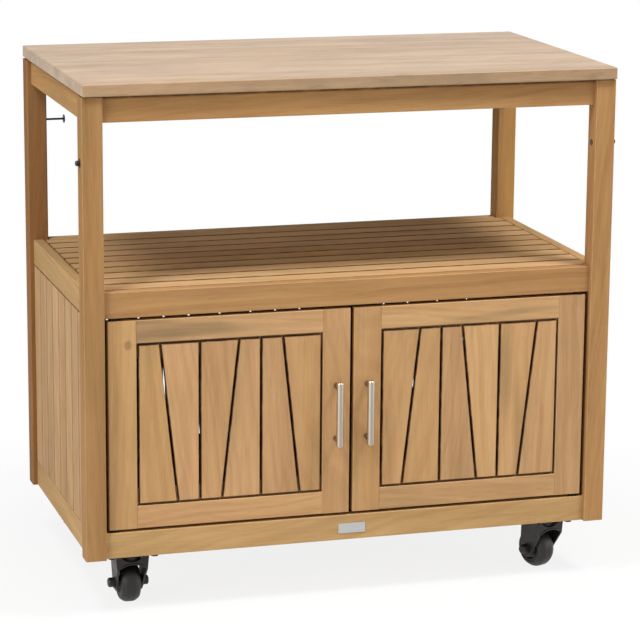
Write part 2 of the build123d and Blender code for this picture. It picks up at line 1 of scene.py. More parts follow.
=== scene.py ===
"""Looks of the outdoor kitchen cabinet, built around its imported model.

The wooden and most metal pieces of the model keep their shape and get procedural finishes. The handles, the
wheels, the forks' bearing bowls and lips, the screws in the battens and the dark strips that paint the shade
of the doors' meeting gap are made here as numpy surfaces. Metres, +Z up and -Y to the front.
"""

import json
import logging
import math
from dataclasses import dataclass, replace
from enum import Enum
from typing import Callable, Mapping, Optional, Sequence, Union

import bmesh
import bpy
import numpy as np
from mathutils import Euler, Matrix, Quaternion, Vector


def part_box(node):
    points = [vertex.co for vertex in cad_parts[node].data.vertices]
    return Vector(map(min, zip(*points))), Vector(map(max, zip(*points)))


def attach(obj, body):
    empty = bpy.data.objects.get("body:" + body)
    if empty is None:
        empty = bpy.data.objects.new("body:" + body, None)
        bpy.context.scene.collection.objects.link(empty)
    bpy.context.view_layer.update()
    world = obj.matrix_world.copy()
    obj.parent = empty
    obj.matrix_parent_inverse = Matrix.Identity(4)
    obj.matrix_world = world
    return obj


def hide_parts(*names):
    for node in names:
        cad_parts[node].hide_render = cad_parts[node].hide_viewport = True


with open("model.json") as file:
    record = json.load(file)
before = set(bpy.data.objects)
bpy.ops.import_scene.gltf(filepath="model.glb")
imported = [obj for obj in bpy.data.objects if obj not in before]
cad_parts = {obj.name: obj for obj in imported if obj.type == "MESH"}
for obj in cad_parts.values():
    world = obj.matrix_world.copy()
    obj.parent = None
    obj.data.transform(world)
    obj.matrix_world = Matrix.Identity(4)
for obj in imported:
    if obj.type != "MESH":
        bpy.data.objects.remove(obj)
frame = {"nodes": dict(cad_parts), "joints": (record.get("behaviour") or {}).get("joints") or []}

log = logging.getLogger("cabinet")

MM = 0.001
MERGE = 0.001 * MM
FAR = 1.0
TURN = 2.0 * np.pi
UP = Vector((0.0, 0.0, 1.0))
FORWARD = Vector((0.0, -1.0, 0.0))
WHITE = (1.0, 1.0, 1.0, 1.0)
CORNERS = ("front_left", "front_right", "back_left", "back_right")
SIDES = ("left", "right")

Colour = tuple[int, int, int]
Triple = tuple[float, float, float]
Socket = bpy.types.NodeSocket
Value = Union[Socket, float, Sequence[float]]
Surface = tuple[np.ndarray, np.ndarray]


class Axis(Enum):
    """A direction of the model, as the number of its coordinate."""

    X = 0
    Y = 1
    Z = 2

    def order(self) -> tuple[int, int, int]:
        """The numbers of the three coordinates, with this one put first."""
        return (self.value, *(number for number in range(3) if number != self.value))


def linear(colour: Colour) -> tuple[float, float, float, float]:
    """Turns a colour in screen values from 0 to 255 into the shader's linear values.

    Args:
        colour: Red, green and blue as a screen shows them.

    Returns:
        Red, green, blue and an alpha of 1 for a colour socket.
    """
    shares = np.array(colour) / 255.0
    values = np.where(shares <= 0.04045, shares / 12.92, ((shares + 0.055) / 1.055) ** 2.4)
    return (*map(float, values), 1.0)


@dataclass(frozen=True)
class Noise:
    """Noise with its own frequency along each coordinate.

    Attributes:
        stretch: Waves per metre along x, y and z.
        detail: How many finer layers are added.
        rough: How strong the finer layers are.
        ends: The values that are mapped to the shares, or none for plain noise about 0.5.
        shares: What the ends are mapped to.
    """

    stretch: Triple
    detail: float
    rough: float = 0.5
    ends: Optional[tuple[float, float]] = None
    shares: tuple[float, float] = (0.0, 1.0)


class Sheet:
    """A node tree with short ways to add nodes and join them."""

    def __init__(self, tree: bpy.types.NodeTree) -> None:
        """Takes the node tree that the nodes go into."""
        self.tree = tree

    def put(self, value: Value, socket: Socket) -> None:
        """Links an output to an input, or sets the input to a constant.

        Args:
            value: An output socket, a number, a vector or a colour.
            socket: The input that takes it.
        """
        if isinstance(value, Socket):
            self.tree.links.new(value, socket)
        else:
            socket.default_value = value

    def add(self, kind: str, inputs: Optional[dict] = None, **settings: object) -> bpy.types.Node:
        """Adds a node.

        Args:
            kind: The node's type name in Blender.
            inputs: Values by the name or the number of the input.
            settings: Attributes of the node, such as its operation.

        Returns:
            The new node.
        """
        node = self.tree.nodes.new(kind)
        for name, setting in settings.items():
            setattr(node, name, setting)
        for name, value in (inputs or {}).items():
            self.put(value, node.inputs[name])
        return node

    def math(self, operation: str, *values: Value, clamp: bool = False) -> Socket:
        """Adds a Math node and gives its result."""
        node = self.add("ShaderNodeMath", dict(enumerate(values)), operation=operation, use_clamp=clamp)
        return node.outputs[0]

    def plus(self, first: Value, second: Value, clamp: bool = False) -> Socket:
        """The sum of two numbers, cut off at 0 and 1 where it is clamped."""
        return self.math("ADD", first, second, clamp=clamp)

    def minus(self, first: Value, second: Value) -> Socket:
        """The first number less the second."""
        return self.math("SUBTRACT", first, second)

    def times(self, first: Value, second: Value) -> Socket:
        """The product of two numbers."""
        return self.math("MULTIPLY", first, second)

    def over(self, first: Value, second: Value) -> Socket:
        """The first number divided by the second."""
        return self.math("DIVIDE", first, second)

    def least(self, first: Value, second: Value) -> Socket:
        """The smaller of two numbers."""
        return self.math("MINIMUM", first, second)

    def most(self, first: Value, second: Value) -> Socket:
        """The larger of two numbers."""
        return self.math("MAXIMUM", first, second)

    def vector(self, operation: str, *values: Value) -> Socket:
        """Adds a Vector Math node and gives its vector."""
        return self.add("ShaderNodeVectorMath", dict(enumerate(values)), operation=operation).outputs[0]

    def scaled(self, vector: Value, factor: Value) -> Socket:
        """A vector times a number."""
        return self.add("ShaderNodeVectorMath", {0: vector, "Scale": factor}, operation="SCALE").outputs[0]

    def length(self, vector: Value) -> Socket:
        """The length of a vector."""
        return self.add("ShaderNodeVectorMath", {0: vector}, operation="LENGTH").outputs["Value"]

    def join(self, *numbers: Value) -> Socket:
        """Adds a Combine XYZ node and gives its vector."""
        return self.add("ShaderNodeCombineXYZ", dict(enumerate(numbers))).outputs[0]

    def split(self, vector: Value) -> Sequence[Socket]:
        """Adds a Separate XYZ node and gives its three numbers."""
        return self.add("ShaderNodeSeparateXYZ", {0: vector}).outputs

    def place(self) -> Socket:
        """The place on the object, in metres."""
        return self.add("ShaderNodeTexCoord").outputs["Object"]

    def normal(self) -> Socket:
        """The direction that the surface faces."""
        return self.add("ShaderNodeTexCoord").outputs["Normal"]

    def along(self, place: Value, axis: Axis) -> Socket:
        """A place whose coordinate along an axis is put first."""
        numbers = self.split(place)
        return self.join(*(numbers[number] for number in axis.order()))

    def mix(self, share: Value, first: Value, second: Value, blend: str = "MIX") -> Socket:
        """Mixes two colours: the first at a share of 0, the second at 1."""
        inputs = {0: share, 6: first, 7: second}
        return self.add("ShaderNodeMix", inputs, data_type="RGBA", blend_type=blend).outputs[2]

    def lay(self, under: Value, mask: Value, share: float, colour: Colour) -> Socket:
        """Lays a colour over another where a mask shows it, at most with the given share."""
        return self.mix(self.times(mask, share), under, linear(colour))

    def spread(
        self, value: Value, low: float, high: float, to_low: float = 0.0, to_high: float = 1.0,
    ) -> Socket:
        """Maps a number from one range to another with soft ends."""
        inputs = dict(enumerate((value, low, high, to_low, to_high)))
        return self.add("ShaderNodeMapRange", inputs, interpolation_type="SMOOTHSTEP").outputs[0]

    def noise(self, place: Value, noise: Noise) -> Socket:
        """Adds noise, mapped to its shares where it has ends.

        Args:
            place: The place, in metres.
            noise: The kind of noise.

        Returns:
            A number between the noise's shares, or about 0.5 where it has no ends.
        """
        inputs = {"Vector": self.vector("MULTIPLY", place, noise.stretch), "Scale": 1.0,
                  "Detail": noise.detail, "Roughness": noise.rough}
        value = self.add("ShaderNodeTexNoise", inputs).outputs["Fac"]
        return self.spread(value, *noise.ends, *noise.shares) if noise.ends else value

    def group(self, tree: bpy.types.NodeTree, **inputs: Value) -> Mapping[str, Socket]:
        """Places a shared group, sets its inputs and gives its outputs."""
        return self.add("ShaderNodeGroup", inputs, node_tree=tree).outputs


class Skin(Sheet):
    """The node tree of a new material with a Principled shader."""

    def __init__(self, name: str) -> None:
        """Makes the material.

        Args:
            name: The material's name.
        """
        self.material = bpy.data.materials.new(name)
        self.material.use_nodes = True
        super().__init__(self.material.node_tree)

    def finish(
        self, colour: Value, rough: Value, height: Value, strength: float, relief: float, **others: float,
    ) -> bpy.types.Material:
        """Joins the looks to the shader.

        Args:
            colour: Colour of the surface.
            rough: Its roughness.
            height: Its relief, as shares of the greatest height.
            strength: How strongly the relief shows.
            relief: The relief's greatest height.
            others: Other inputs of the shader, by their names with lines for spaces.

        Returns:
            The finished material.
        """
        bump = self.add("ShaderNodeBump", {"Strength": strength, "Distance": relief, "Height": height})
        inputs = {"Base Color": colour, "Roughness": rough, "Normal": bump.outputs[0]}
        inputs.update({name.replace("_", " "): value for name, value in others.items()})
        for name, value in inputs.items():
            self.put(value, self.tree.nodes["Principled BSDF"].inputs[name])
        return self.material


# Patterns of the wood, along the grain and across it.
WANDER = Noise((3.0, 9.0, 9.0), 2.0)
BANDS = Noise((1.5, 27.0, 27.0), 3.0, ends=(0.32, 0.70))
CLOUDS = Noise((7.0, 16.0, 16.0), 5.0, 0.6)
ZONES = Noise((2.4, 19.0, 19.0), 2.5, ends=(0.47, 0.72))
FLECKS = Noise((16.0, 130.0, 130.0), 3.0, 0.6, (0.54, 0.70))
STREAKS = Noise((5.0, 260.0, 260.0), 4.0, 0.65, (0.30, 0.75))
PORES = Noise((38.0, 1300.0, 1300.0), 2.0, ends=(0.60, 0.74))
KNOT_EDGE = Noise((160.0, 160.0, 160.0), 2.0)

# How far the grain is shifted from board to board, and how far it drifts sideways.
SEED_STEPS = (7.13, 3.71)
GRAIN_DRIFT = 0.03
# From the chance of a board to the strength of its grey zones.
GREY_BOARDS = (0.15, 0.85, 0.25, 1.0)
# Where the pith lies beside a board and below it, and how far it slopes along the board.
PITH_SIDE = (-0.07, 0.07)
PITH_DEPTH = (0.02, 0.09)
PITH_SLOPE = (-0.12, 0.12)
# Growth rings per metre, their detail, ends and wandering, and their share of the late wood.
RING_COUNT, RING_DETAIL = 105.0, 3.0
RING_ENDS = (0.36, 0.68)
RING_WANDER, RING_SHARE = 0.035, 0.6
# Brightness, green and blue of the middle board, and how much green and blue vary with the brightness.
BASE_SHADE, BASE_GREEN, BASE_BLUE = 1.015, 0.993, 0.985
GREEN_VARIETY, BLUE_VARIETY = 0.16, 0.7
PORE_SHADE, STREAK_RELIEF = 0.16, -0.5

# Patterns of wear, grime, painted shade and painted highlight, and of the other surfaces.
SEAM_PATCHES = Noise((45.0, 45.0, 45.0), 3.0, ends=(0.25, 0.60), shares=(0.60, 1.0))
EDGE_PATCHES = Noise((60.0, 60.0, 60.0), 3.0, ends=(0.30, 0.62), shares=(0.45, 1.0))
BRUSH_LINES = Noise((0.035, 6.0, 6.0), 3.0, 0.7)
PIMPLES = Noise((1.0, 1.0, 1.0), 2.0)
COAT_TONE = Noise((70.0, 70.0, 70.0), 3.0, ends=(0.30, 0.70))
DUST_PATCHES = Noise((24.0, 24.0, 24.0), 4.0, ends=(0.35, 0.75))

# Where the grime and painted shade of a joint is gone and where it is full, as shares of its reach.
DIRT_AND_SHADE_ENDS = (1.0, 0.4)
# How uneven a knot is, and where its heart and both sides of its ring end, as shares of its size.
KNOT_UNEVEN = 0.7
KNOT_HEART_ENDS = (1.15, 0.6)
KNOT_RING_INSIDE, KNOT_RING_OUTSIDE = (0.55, 0.9), (1.5, 1.0)
# How closely a face follows an axis where the rounded-edge mask starts and where it is full (a painted
# highlight on wood, rubbed edges on coats), and how far up dusty ones look.
ARRIS_ENDS = (0.985, 0.80)
DUST_ENDS = (0.3, 1.0)
# From the brush lines to the tone and the polish of steel, and the facing of the faces that get a darker
# painted reflection, and how unevenly.
LINE_ENDS, POLISH_ENDS = (0.3, 0.7), (0.25, 0.75)
FRONT_REFLECTION_ENDS, FRONT_REFLECTION_UNEVEN = (-0.80, -0.93), 0.06


class SharedGroups:
    """The shader groups that several finishes use, each built once."""

    KINDS = {"Place": "Vector", "Centre": "Vector", "Size": "Vector", "Pale": "Color", "Deep": "Color",
             "Grey": "Color", "Colour": "Color"}

    def __init__(self) -> None:
        """Builds every group."""
        self.grain = self._make(
            "oiled_grain", self._fill_grain,
            "Place Seed Pale Deep Grey Bands Clouds Zones Flecks Rings Streaks Variety",
            "Colour Height Dryness")
        self.row = self._make("board_row", self._fill_row, "Along Start Pitch", "Seed Edge")
        self.taper = self._make(
            "tapered_boards", self._fill_taper, "Along Start Pitch Rise Lean", "Seed Edge")
        # A mask of grime and painted shade along joints, standing in for the shade in the gaps between
        # boards.
        self.seam = self._make("seam_dirt_and_shade", self._fill_seam, "Place Edge Reach", "Mask")
        self.knot = self._make("knot", self._fill_knot, "Place Centre Size", "Mask Ring")
        self.arris = self._make("eased_arris", self._fill_arris, "Place", "Mask")
        self.brush = self._make("brush_lines", self._fill_brush, "Place Fineness", "Lines")
        self.coat = self._make("coat_texture", self._fill_coat, "Place Fineness", "Height Tone")
        self.dust = self._make("settled_dust", self._fill_dust, "Place", "Mask")

    def _make(
        self, name: str, fill: Callable[[Sheet, dict], dict], inputs: str, outputs: str,
    ) -> bpy.types.NodeTree:
        """Makes one group.

        Args:
            name: The group's name.
            fill: Adds the group's nodes, from its inputs by name, and gives its outputs by name.
            inputs: Names of the inputs.
            outputs: Names of the outputs.

        Returns:
            The finished group.
        """
        tree = bpy.data.node_groups.new(name, "ShaderNodeTree")
        for direction, sockets in (("INPUT", inputs), ("OUTPUT", outputs)):
            for socket in sockets.split():
                kind = f"NodeSocket{self.KINDS.get(socket, 'Float')}"
                tree.interface.new_socket(socket, in_out=direction, socket_type=kind)
        sheet = Sheet(tree)
        given = sheet.add("NodeGroupInput").outputs
        sheet.add("NodeGroupOutput", fill(sheet, {socket: given[socket] for socket in inputs.split()}))
        return tree

    @staticmethod
    def _fill_grain(sheet: Sheet, given: dict) -> dict:
        """Wood cut along x, with bands, clouds, grey zones, flecks, streaks, pores and growth rings.

        The place is shifted by the seed, so that each board is cut from another part of the tree. The rings
        are one-dimensional noise of the distance from a wandering pith.

        Args:
            sheet: The group's nodes.
            given: The group's inputs by name.

        Returns:
            The group's outputs by name.
        """
        seed = given["Seed"]
        chance = sheet.add("ShaderNodeTexWhiteNoise", {"W": seed}, noise_dimensions="1D")
        chances = sheet.split(chance.outputs["Color"])
        shift = sheet.join(*(sheet.times(seed, step) for step in SEED_STEPS), chances[0])
        place = sheet.vector("ADD", given["Place"], shift)
        wander = sheet.minus(sheet.noise(place, WANDER), 0.5)
        drift = sheet.times(wander, GRAIN_DRIFT)
        place = sheet.vector("ADD", place, sheet.join(0.0, drift, drift))
        bands, clouds, zones, flecks, streaks, pores = (
            sheet.noise(place, pattern) for pattern in (BANDS, CLOUDS, ZONES, FLECKS, STREAKS, PORES))
        zones = sheet.times(zones, sheet.spread(chances[0], *GREY_BOARDS))

        along, across, through = sheet.split(given["Place"])
        pith_side = sheet.plus(across, sheet.spread(chances[1], 0.0, 1.0, *PITH_SIDE))
        pith_depth = sheet.plus(through, sheet.spread(chances[2], 0.0, 1.0, *PITH_DEPTH))
        slope = sheet.times(along, sheet.spread(chances[0], 0.0, 1.0, *PITH_SLOPE))
        away = sheet.plus(sheet.length(sheet.join(0.0, pith_side, pith_depth)), slope)
        away = sheet.plus(away, sheet.times(wander, RING_WANDER))
        ring_inputs = {"W": sheet.times(away, RING_COUNT), "Scale": 1.0, "Detail": RING_DETAIL}
        ring_noise = sheet.add("ShaderNodeTexNoise", ring_inputs, noise_dimensions="1D")
        rings = sheet.times(sheet.spread(ring_noise.outputs["Fac"], *RING_ENDS), given["Rings"])

        late = sheet.plus(sheet.times(bands, given["Bands"]), sheet.times(rings, RING_SHARE), clamp=True)
        colour = sheet.mix(late, given["Pale"], given["Deep"])
        colour = sheet.mix(sheet.times(zones, given["Zones"]), colour, given["Grey"])
        lighter, yellower, redder = (
            sheet.times(sheet.minus(chances[number], 0.5), given["Variety"]) for number in (1, 0, 2))
        fine = sheet.plus(sheet.times(streaks, given["Streaks"]), sheet.times(pores, PORE_SHADE))
        shade = sheet.minus(sheet.plus(lighter, BASE_SHADE), fine)
        shade = sheet.plus(shade, sheet.times(sheet.minus(clouds, 0.5), given["Clouds"]))
        shade = sheet.minus(shade, sheet.times(flecks, given["Flecks"]))
        green = sheet.plus(sheet.times(yellower, GREEN_VARIETY), BASE_GREEN)
        blue = sheet.plus(sheet.times(redder, BLUE_VARIETY), BASE_BLUE)
        tint = sheet.join(shade, sheet.times(shade, green), sheet.times(shade, blue))
        height = sheet.minus(sheet.times(streaks, STREAK_RELIEF), pores)
        return {"Colour": sheet.mix(1.0, colour, tint, "MULTIPLY"), "Height": height,
                "Dryness": sheet.plus(streaks, bands)}

    @staticmethod
    def _within(sheet: Sheet, given: dict) -> tuple[Socket, Socket, Socket]:
        """Finds where a place lies in an even row.

        Args:
            sheet: The group's nodes.
            given: The group's inputs by name.

        Returns:
            The number of the step, the place within it and the way to its nearer edge, both as shares of it.
        """
        place = sheet.over(sheet.minus(given["Along"], given["Start"]), given["Pitch"])
        number = sheet.math("FLOOR", place)
        within = sheet.minus(place, number)
        return number, within, sheet.least(within, sheet.minus(1.0, within))

    def _fill_row(self, sheet: Sheet, given: dict) -> dict:
        """The number of a board in an even row, from the row's start, and how far away its nearer edge is."""
        number, _, near = self._within(sheet, given)
        return {"Seed": number, "Edge": sheet.times(near, given["Pitch"])}

    def _fill_taper(self, sheet: Sheet, given: dict) -> dict:
        """The number of a board in a row of pairs that are split by leaning cuts, and how far its edge is.

        The cut of a pair stands at its middle plus the lean at the foot and minus the lean at the head, and
        leans the other way in the next pair.

        Args:
            sheet: The group's nodes.
            given: The group's inputs by name.

        Returns:
            The group's outputs by name.
        """
        pair, within, near = self._within(sheet, given)
        way = sheet.minus(1.0, sheet.times(sheet.math("FLOORED_MODULO", pair, 2.0), 2.0))
        slant = sheet.minus(1.0, sheet.times(given["Rise"], 2.0))
        cut = sheet.plus(0.5, sheet.times(sheet.times(way, slant), given["Lean"]))
        second = sheet.math("GREATER_THAN", within, cut)
        near = sheet.least(near, sheet.math("ABSOLUTE", sheet.minus(within, cut)))
        edge = sheet.times(near, sheet.math("ABSOLUTE", given["Pitch"]))
        return {"Seed": sheet.plus(sheet.times(pair, 2.0), second), "Edge": edge}

    @staticmethod
    def _fill_seam(sheet: Sheet, given: dict) -> dict:
        """Grime and painted shade in a joint: full near the joint's edge, gone at its reach, and broken up by
        noise.
        """
        dirt_and_shade = sheet.spread(sheet.over(given["Edge"], given["Reach"]), *DIRT_AND_SHADE_ENDS)
        return {"Mask": sheet.times(dirt_and_shade, sheet.noise(given["Place"], SEAM_PATCHES))}

    @staticmethod
    def _fill_knot(sheet: Sheet, given: dict) -> dict:
        """A small oval knot: the mask of its heart and the dark ring round it.

        Args:
            sheet: The group's nodes.
            given: The group's inputs by name.

        Returns:
            The group's outputs by name.
        """
        away = sheet.vector("SUBTRACT", given["Place"], given["Centre"])
        away = sheet.length(sheet.vector("DIVIDE", away, given["Size"]))
        uneven = sheet.times(sheet.noise(given["Place"], KNOT_EDGE), KNOT_UNEVEN)
        away = sheet.plus(away, sheet.minus(uneven, KNOT_UNEVEN / 2))
        ring = sheet.times(sheet.spread(away, *KNOT_RING_INSIDE), sheet.spread(away, *KNOT_RING_OUTSIDE))
        return {"Mask": sheet.spread(away, *KNOT_HEART_ENDS), "Ring": ring}

    @staticmethod
    def _fill_arris(sheet: Sheet, given: dict) -> dict:
        """How far a face is turned from the model's axes, as on a rounded edge, broken up by noise.

        Args:
            sheet: The group's nodes.
            given: The group's inputs by name.

        Returns:
            The group's outputs by name.
        """
        # Wood finishes lay a painted highlight on the rounded edges with this mask; coats lighten their
        # rubbed edges with it.
        x, y, z = sheet.split(sheet.vector("ABSOLUTE", sheet.normal()))
        turned = sheet.spread(sheet.most(sheet.most(x, y), z), *ARRIS_ENDS)
        return {"Mask": sheet.times(turned, sheet.noise(given["Place"], EDGE_PATCHES))}

    @staticmethod
    def _fill_brush(sheet: Sheet, given: dict) -> dict:
        """Long fine lines along x."""
        return {"Lines": sheet.noise(sheet.scaled(given["Place"], given["Fineness"]), BRUSH_LINES)}

    @staticmethod
    def _fill_coat(sheet: Sheet, given: dict) -> dict:
        """The fine pimples of a sprayed or moulded surface, and a slow change of its tone."""
        pimples = sheet.noise(sheet.scaled(given["Place"], given["Fineness"]), PIMPLES)
        return {"Height": pimples, "Tone": sheet.noise(given["Place"], COAT_TONE)}

    @staticmethod
    def _fill_dust(sheet: Sheet, given: dict) -> dict:
        """A thin film on faces that look up, in patches."""
        upward = sheet.spread(sheet.split(sheet.normal())[Axis.Z.value], *DUST_ENDS)
        return {"Mask": sheet.times(upward, sheet.noise(given["Place"], DUST_PATCHES))}


@dataclass(frozen=True)
class SingleBoard:
    """A piece cut from one board, with the number that its grain comes from."""

    number: float

    def seed(self, sheet: Sheet, groups: SharedGroups, place: Socket) -> tuple[Value, Optional[Socket]]:
        """The board's number, and no grime and no painted shade at its joints."""
        return self.number, None


@dataclass(frozen=True)
class BoardRow:
    """Boards side by side, of one width or in pairs that are split by leaning cuts.

    Attributes:
        axis: The direction that the boards are counted along.
        start: Where the first board or pair begins.
        pitch: From one to the next, negative where pairs are counted to the left.
        first: The first board's number.
        gap: Open gap between two boards.
        dirt_and_shade: How far grime and painted shade reach from a board's edge, 0 where the boards have
            none.
        ends: The lowest and the highest end of upright boards whose ends get it too.
        lean: How far the cut of a pair leans out at its ends, as a share of the pitch, 0 for single boards.
    """

    axis: Axis
    start: float
    pitch: float
    first: float = 0.0
    gap: float = 0.0
    dirt_and_shade: float = 0.0
    ends: Optional[tuple[float, float]] = None
    lean: float = 0.0

    def seed(self, sheet: Sheet, groups: SharedGroups, place: Socket) -> tuple[Value, Optional[Socket]]:
        """Finds the board at a place.

        Args:
            sheet: The material's nodes.
            groups: The shared groups.
            place: The place on the piece.

        Returns:
            The board's number, and how much grime and painted shade lie there, or none where the boards have
            none.
        """
        numbers = sheet.split(place)
        inputs = {"Along": numbers[self.axis.value], "Start": self.start, "Pitch": self.pitch}
        if self.ends:
            foot, head = self.ends
            height = numbers[Axis.Z.value]
            lift = sheet.minus(height, foot)
            end = sheet.least(lift, sheet.minus(head, height))
        if self.lean:
            inputs.update(Rise=sheet.over(lift, head - foot), Lean=self.lean)
        board = sheet.group(groups.taper if self.lean else groups.row, **inputs)
        seed = sheet.plus(board["Seed"], self.first)
        if not self.dirt_and_shade:
            return seed, None
        edge = sheet.minus(board["Edge"], self.gap / 2)
        if self.ends:
            edge = sheet.least(edge, end)
        return seed, sheet.group(groups.seam, Place=place, Edge=edge, Reach=self.dirt_and_shade)["Mask"]


Boards = Union[SingleBoard, BoardRow]


@dataclass(frozen=True)
class Knot:
    """A small knot.

    Attributes:
        centre: Its middle.
        size: Half its extent along x, y and z.
    """

    centre: Triple
    size: Triple


@dataclass(frozen=True)
class WoodFinish:
    """Oiled or dry wood.

    Attributes:
        name: Name of the finish.
        pale: Colour of the early wood.
        deep: Colour of the late wood.
        grey: Colour of the greyish zones.
        arris: Colour painted on the rounded edges, as a highlight where they catch light.
        bands: Strength of the broad bands.
        clouds: Strength of the soft blotches.
        zones: Strength of the greyish zones.
        flecks: Strength of the short dark flecks.
        rings: Strength of the growth rings.
        streaks: Strength of the fine streaks.
        variety: How much one board differs from the next.
        roughness: Least roughness, where the oil lies.
        dryness: How much rougher the driest wood is.
        shine: Strength of the reflections.
        dirt_and_shade: Colour of the grime and painted shade in the joints.
        heart: Colour of a knot.
        ring: Colour of the ring round a knot.
        shares: The greatest shares of the ring, the heart, the painted edge highlight, and the grime and
            painted shade of the joints.
        relief: Strength of the relief of streaks and pores, and its height.
    """

    name: str
    pale: Colour
    deep: Colour
    grey: Colour
    arris: Colour
    bands: float = 0.50
    clouds: float = 0.25
    zones: float = 0.75
    flecks: float = 0.05
    rings: float = 0.50
    streaks: float = 0.10
    variety: float = 0.10
    roughness: float = 0.60
    dryness: float = 0.16
    shine: float = 0.06
    dirt_and_shade: Colour = (96, 64, 38)
    heart: Colour = (146, 116, 82)
    ring: Colour = (168, 124, 80)
    shares: tuple[float, float, float, float] = (0.45, 0.7, 0.5, 0.85)
    relief: tuple[float, float] = (0.35, 0.25 * MM)

    def material(
        self, groups: SharedGroups, piece: str, grain: Axis, boards: Boards, knots: Sequence[Knot] = (),
    ) -> bpy.types.Material:
        """Makes the material of one piece.

        Args:
            groups: The shared groups.
            piece: The piece's name.
            grain: The direction of the grain.
            boards: How the piece is cut into boards.
            knots: The knots in it.

        Returns:
            The material.
        """
        skin = Skin(f"{self.name}_{piece}")
        place = skin.place()
        seed, dirt_and_shade = boards.seed(skin, groups, place)
        wood = skin.group(
            groups.grain, Place=skin.along(place, grain), Seed=seed, Pale=linear(self.pale),
            Deep=linear(self.deep), Grey=linear(self.grey), Bands=self.bands, Clouds=self.clouds,
            Zones=self.zones, Flecks=self.flecks, Rings=self.rings, Streaks=self.streaks,
            Variety=self.variety)
        colour = wood["Colour"]
        ring_share, heart_share, edge_highlight_share, dirt_and_shade_share = self.shares
        for knot in knots:
            spot = skin.group(groups.knot, Place=place, Centre=knot.centre, Size=knot.size)
            colour = skin.lay(colour, spot["Ring"], ring_share, self.ring)
            colour = skin.lay(colour, spot["Mask"], heart_share, self.heart)
        # Painted highlight on the rounded edges, where they catch light.
        colour = skin.lay(colour, skin.group(groups.arris, Place=place)["Mask"], edge_highlight_share, self.arris)
        # Grime and painted shade along the joints, and the painted shadow along the aprons' tops.
        if dirt_and_shade is not None:
            colour = skin.lay(colour, dirt_and_shade, dirt_and_shade_share, self.dirt_and_shade)
        rough = skin.spread(wood["Dryness"], 0.0, 2.0, self.roughness, self.roughness + self.dryness)
        return skin.finish(colour, rough, wood["Height"], *self.relief, Specular_IOR_Level=self.shine)


@dataclass(frozen=True)
class SteelFinish:
    """Bare steel, brushed along one direction.

    Attributes:
        name: Name of the finish.
        colour: Colour of the metal.
        fineness: Brush lines per metre.
        roughness: Roughness between the lines.
        brushed: The direction of the lines.
        front_reflection: Colour painted on the faces that look to the front, a darker painted reflection
            beside the brighter sides.
        line_shade: Brightness of the lines.
        line_polish: How much smoother and how much rougher the lines make the steel.
        relief: Strength of the relief of the lines, and its height.
    """

    name: str
    colour: Colour
    fineness: float
    roughness: float
    brushed: Axis
    front_reflection: Optional[Colour] = None
    line_shade: float = 0.86
    line_polish: tuple[float, float] = (0.07, 0.09)
    relief: tuple[float, float] = (0.2, 0.04 * MM)

    def material(self, groups: SharedGroups) -> bpy.types.Material:
        """Makes the material.

        Args:
            groups: The shared groups.

        Returns:
            The material.
        """
        skin = Skin(self.name)
        turned = skin.along(skin.place(), self.brushed)
        lines = skin.group(groups.brush, Place=turned, Fineness=self.fineness)["Lines"]
        dark = tuple(int(self.line_shade * part) for part in self.colour)
        colour = skin.mix(skin.spread(lines, *LINE_ENDS), linear(dark), linear(self.colour))
        # A darker reflection painted on the faces that look to the front.
        if self.front_reflection:
            facing = skin.plus(skin.split(skin.normal())[Axis.Y.value], skin.times(lines, FRONT_REFLECTION_UNEVEN))
            colour = skin.mix(skin.spread(facing, *FRONT_REFLECTION_ENDS), colour, linear(self.front_reflection))
        smoother, rougher = self.line_polish
        rough = skin.spread(lines, *POLISH_ENDS, self.roughness - smoother, self.roughness + rougher)
        return skin.finish(colour, rough, lines, *self.relief, Metallic=1.0)


@dataclass(frozen=True)
class CoatFinish:
    """Powder coat, rubber or moulded plastic.

    Attributes:
        name: Name of the finish.
        colour: Colour of the surface.
        worn: Colour of rubbed edges and dust.
        wear: How much the edges are rubbed.
        dust: How much dust lies on top.
        pimples: Pimples per metre.
        relief: Height of the pimples.
        roughness: Least roughness.
        shine: Strength of the reflections.
        tone: How much the colour changes slowly.
        tone_rough: How much the roughness changes with it.
        strength: How strongly the pimples show.
    """

    name: str
    colour: Colour
    worn: Colour
    wear: float
    dust: float
    pimples: float
    relief: float
    roughness: float
    shine: float
    tone: float = 0.06
    tone_rough: float = 0.12
    strength: float = 0.4

    def material(self, groups: SharedGroups) -> bpy.types.Material:
        """Makes the material.

        Args:
            groups: The shared groups.

        Returns:
            The material.
        """
        skin = Skin(self.name)
        place = skin.place()
        coat = skin.group(groups.coat, Place=place, Fineness=self.pimples)
        worn = skin.times(skin.group(groups.arris, Place=place)["Mask"], self.wear)
        dusty = skin.times(skin.group(groups.dust, Place=place)["Mask"], self.dust)
        share = skin.plus(skin.plus(worn, dusty), skin.times(coat["Tone"], self.tone), clamp=True)
        colour = skin.mix(share, linear(self.colour), linear(self.worn))
        rough = skin.spread(coat["Tone"], 0.0, 1.0, self.roughness, self.roughness + self.tone_rough)
        return skin.finish(
            colour, rough, coat["Height"], self.strength, self.relief, Specular_IOR_Level=self.shine)


HONEY = WoodFinish("honey_wood", (190, 146, 97), (164, 120, 75), (160, 128, 90), (206, 168, 124))
AMBER = WoodFinish("amber_wood", (179, 138, 91), (155, 114, 72), (152, 123, 86), (198, 162, 118))
RAIL = WoodFinish("rail_wood", (200, 163, 111), (178, 138, 90), (172, 144, 102), (214, 178, 130))
# The apron's dark joint colour paints the shadow that the worktop casts along the apron's top.
APRON = WoodFinish(
    "apron_wood", (193, 149, 96), (167, 122, 76), (164, 132, 90), (204, 168, 122), dirt_and_shade=(58, 38, 22))
GOLD = WoodFinish("golden_wood", (198, 152, 92), (172, 124, 70), (164, 130, 84), (210, 170, 120))
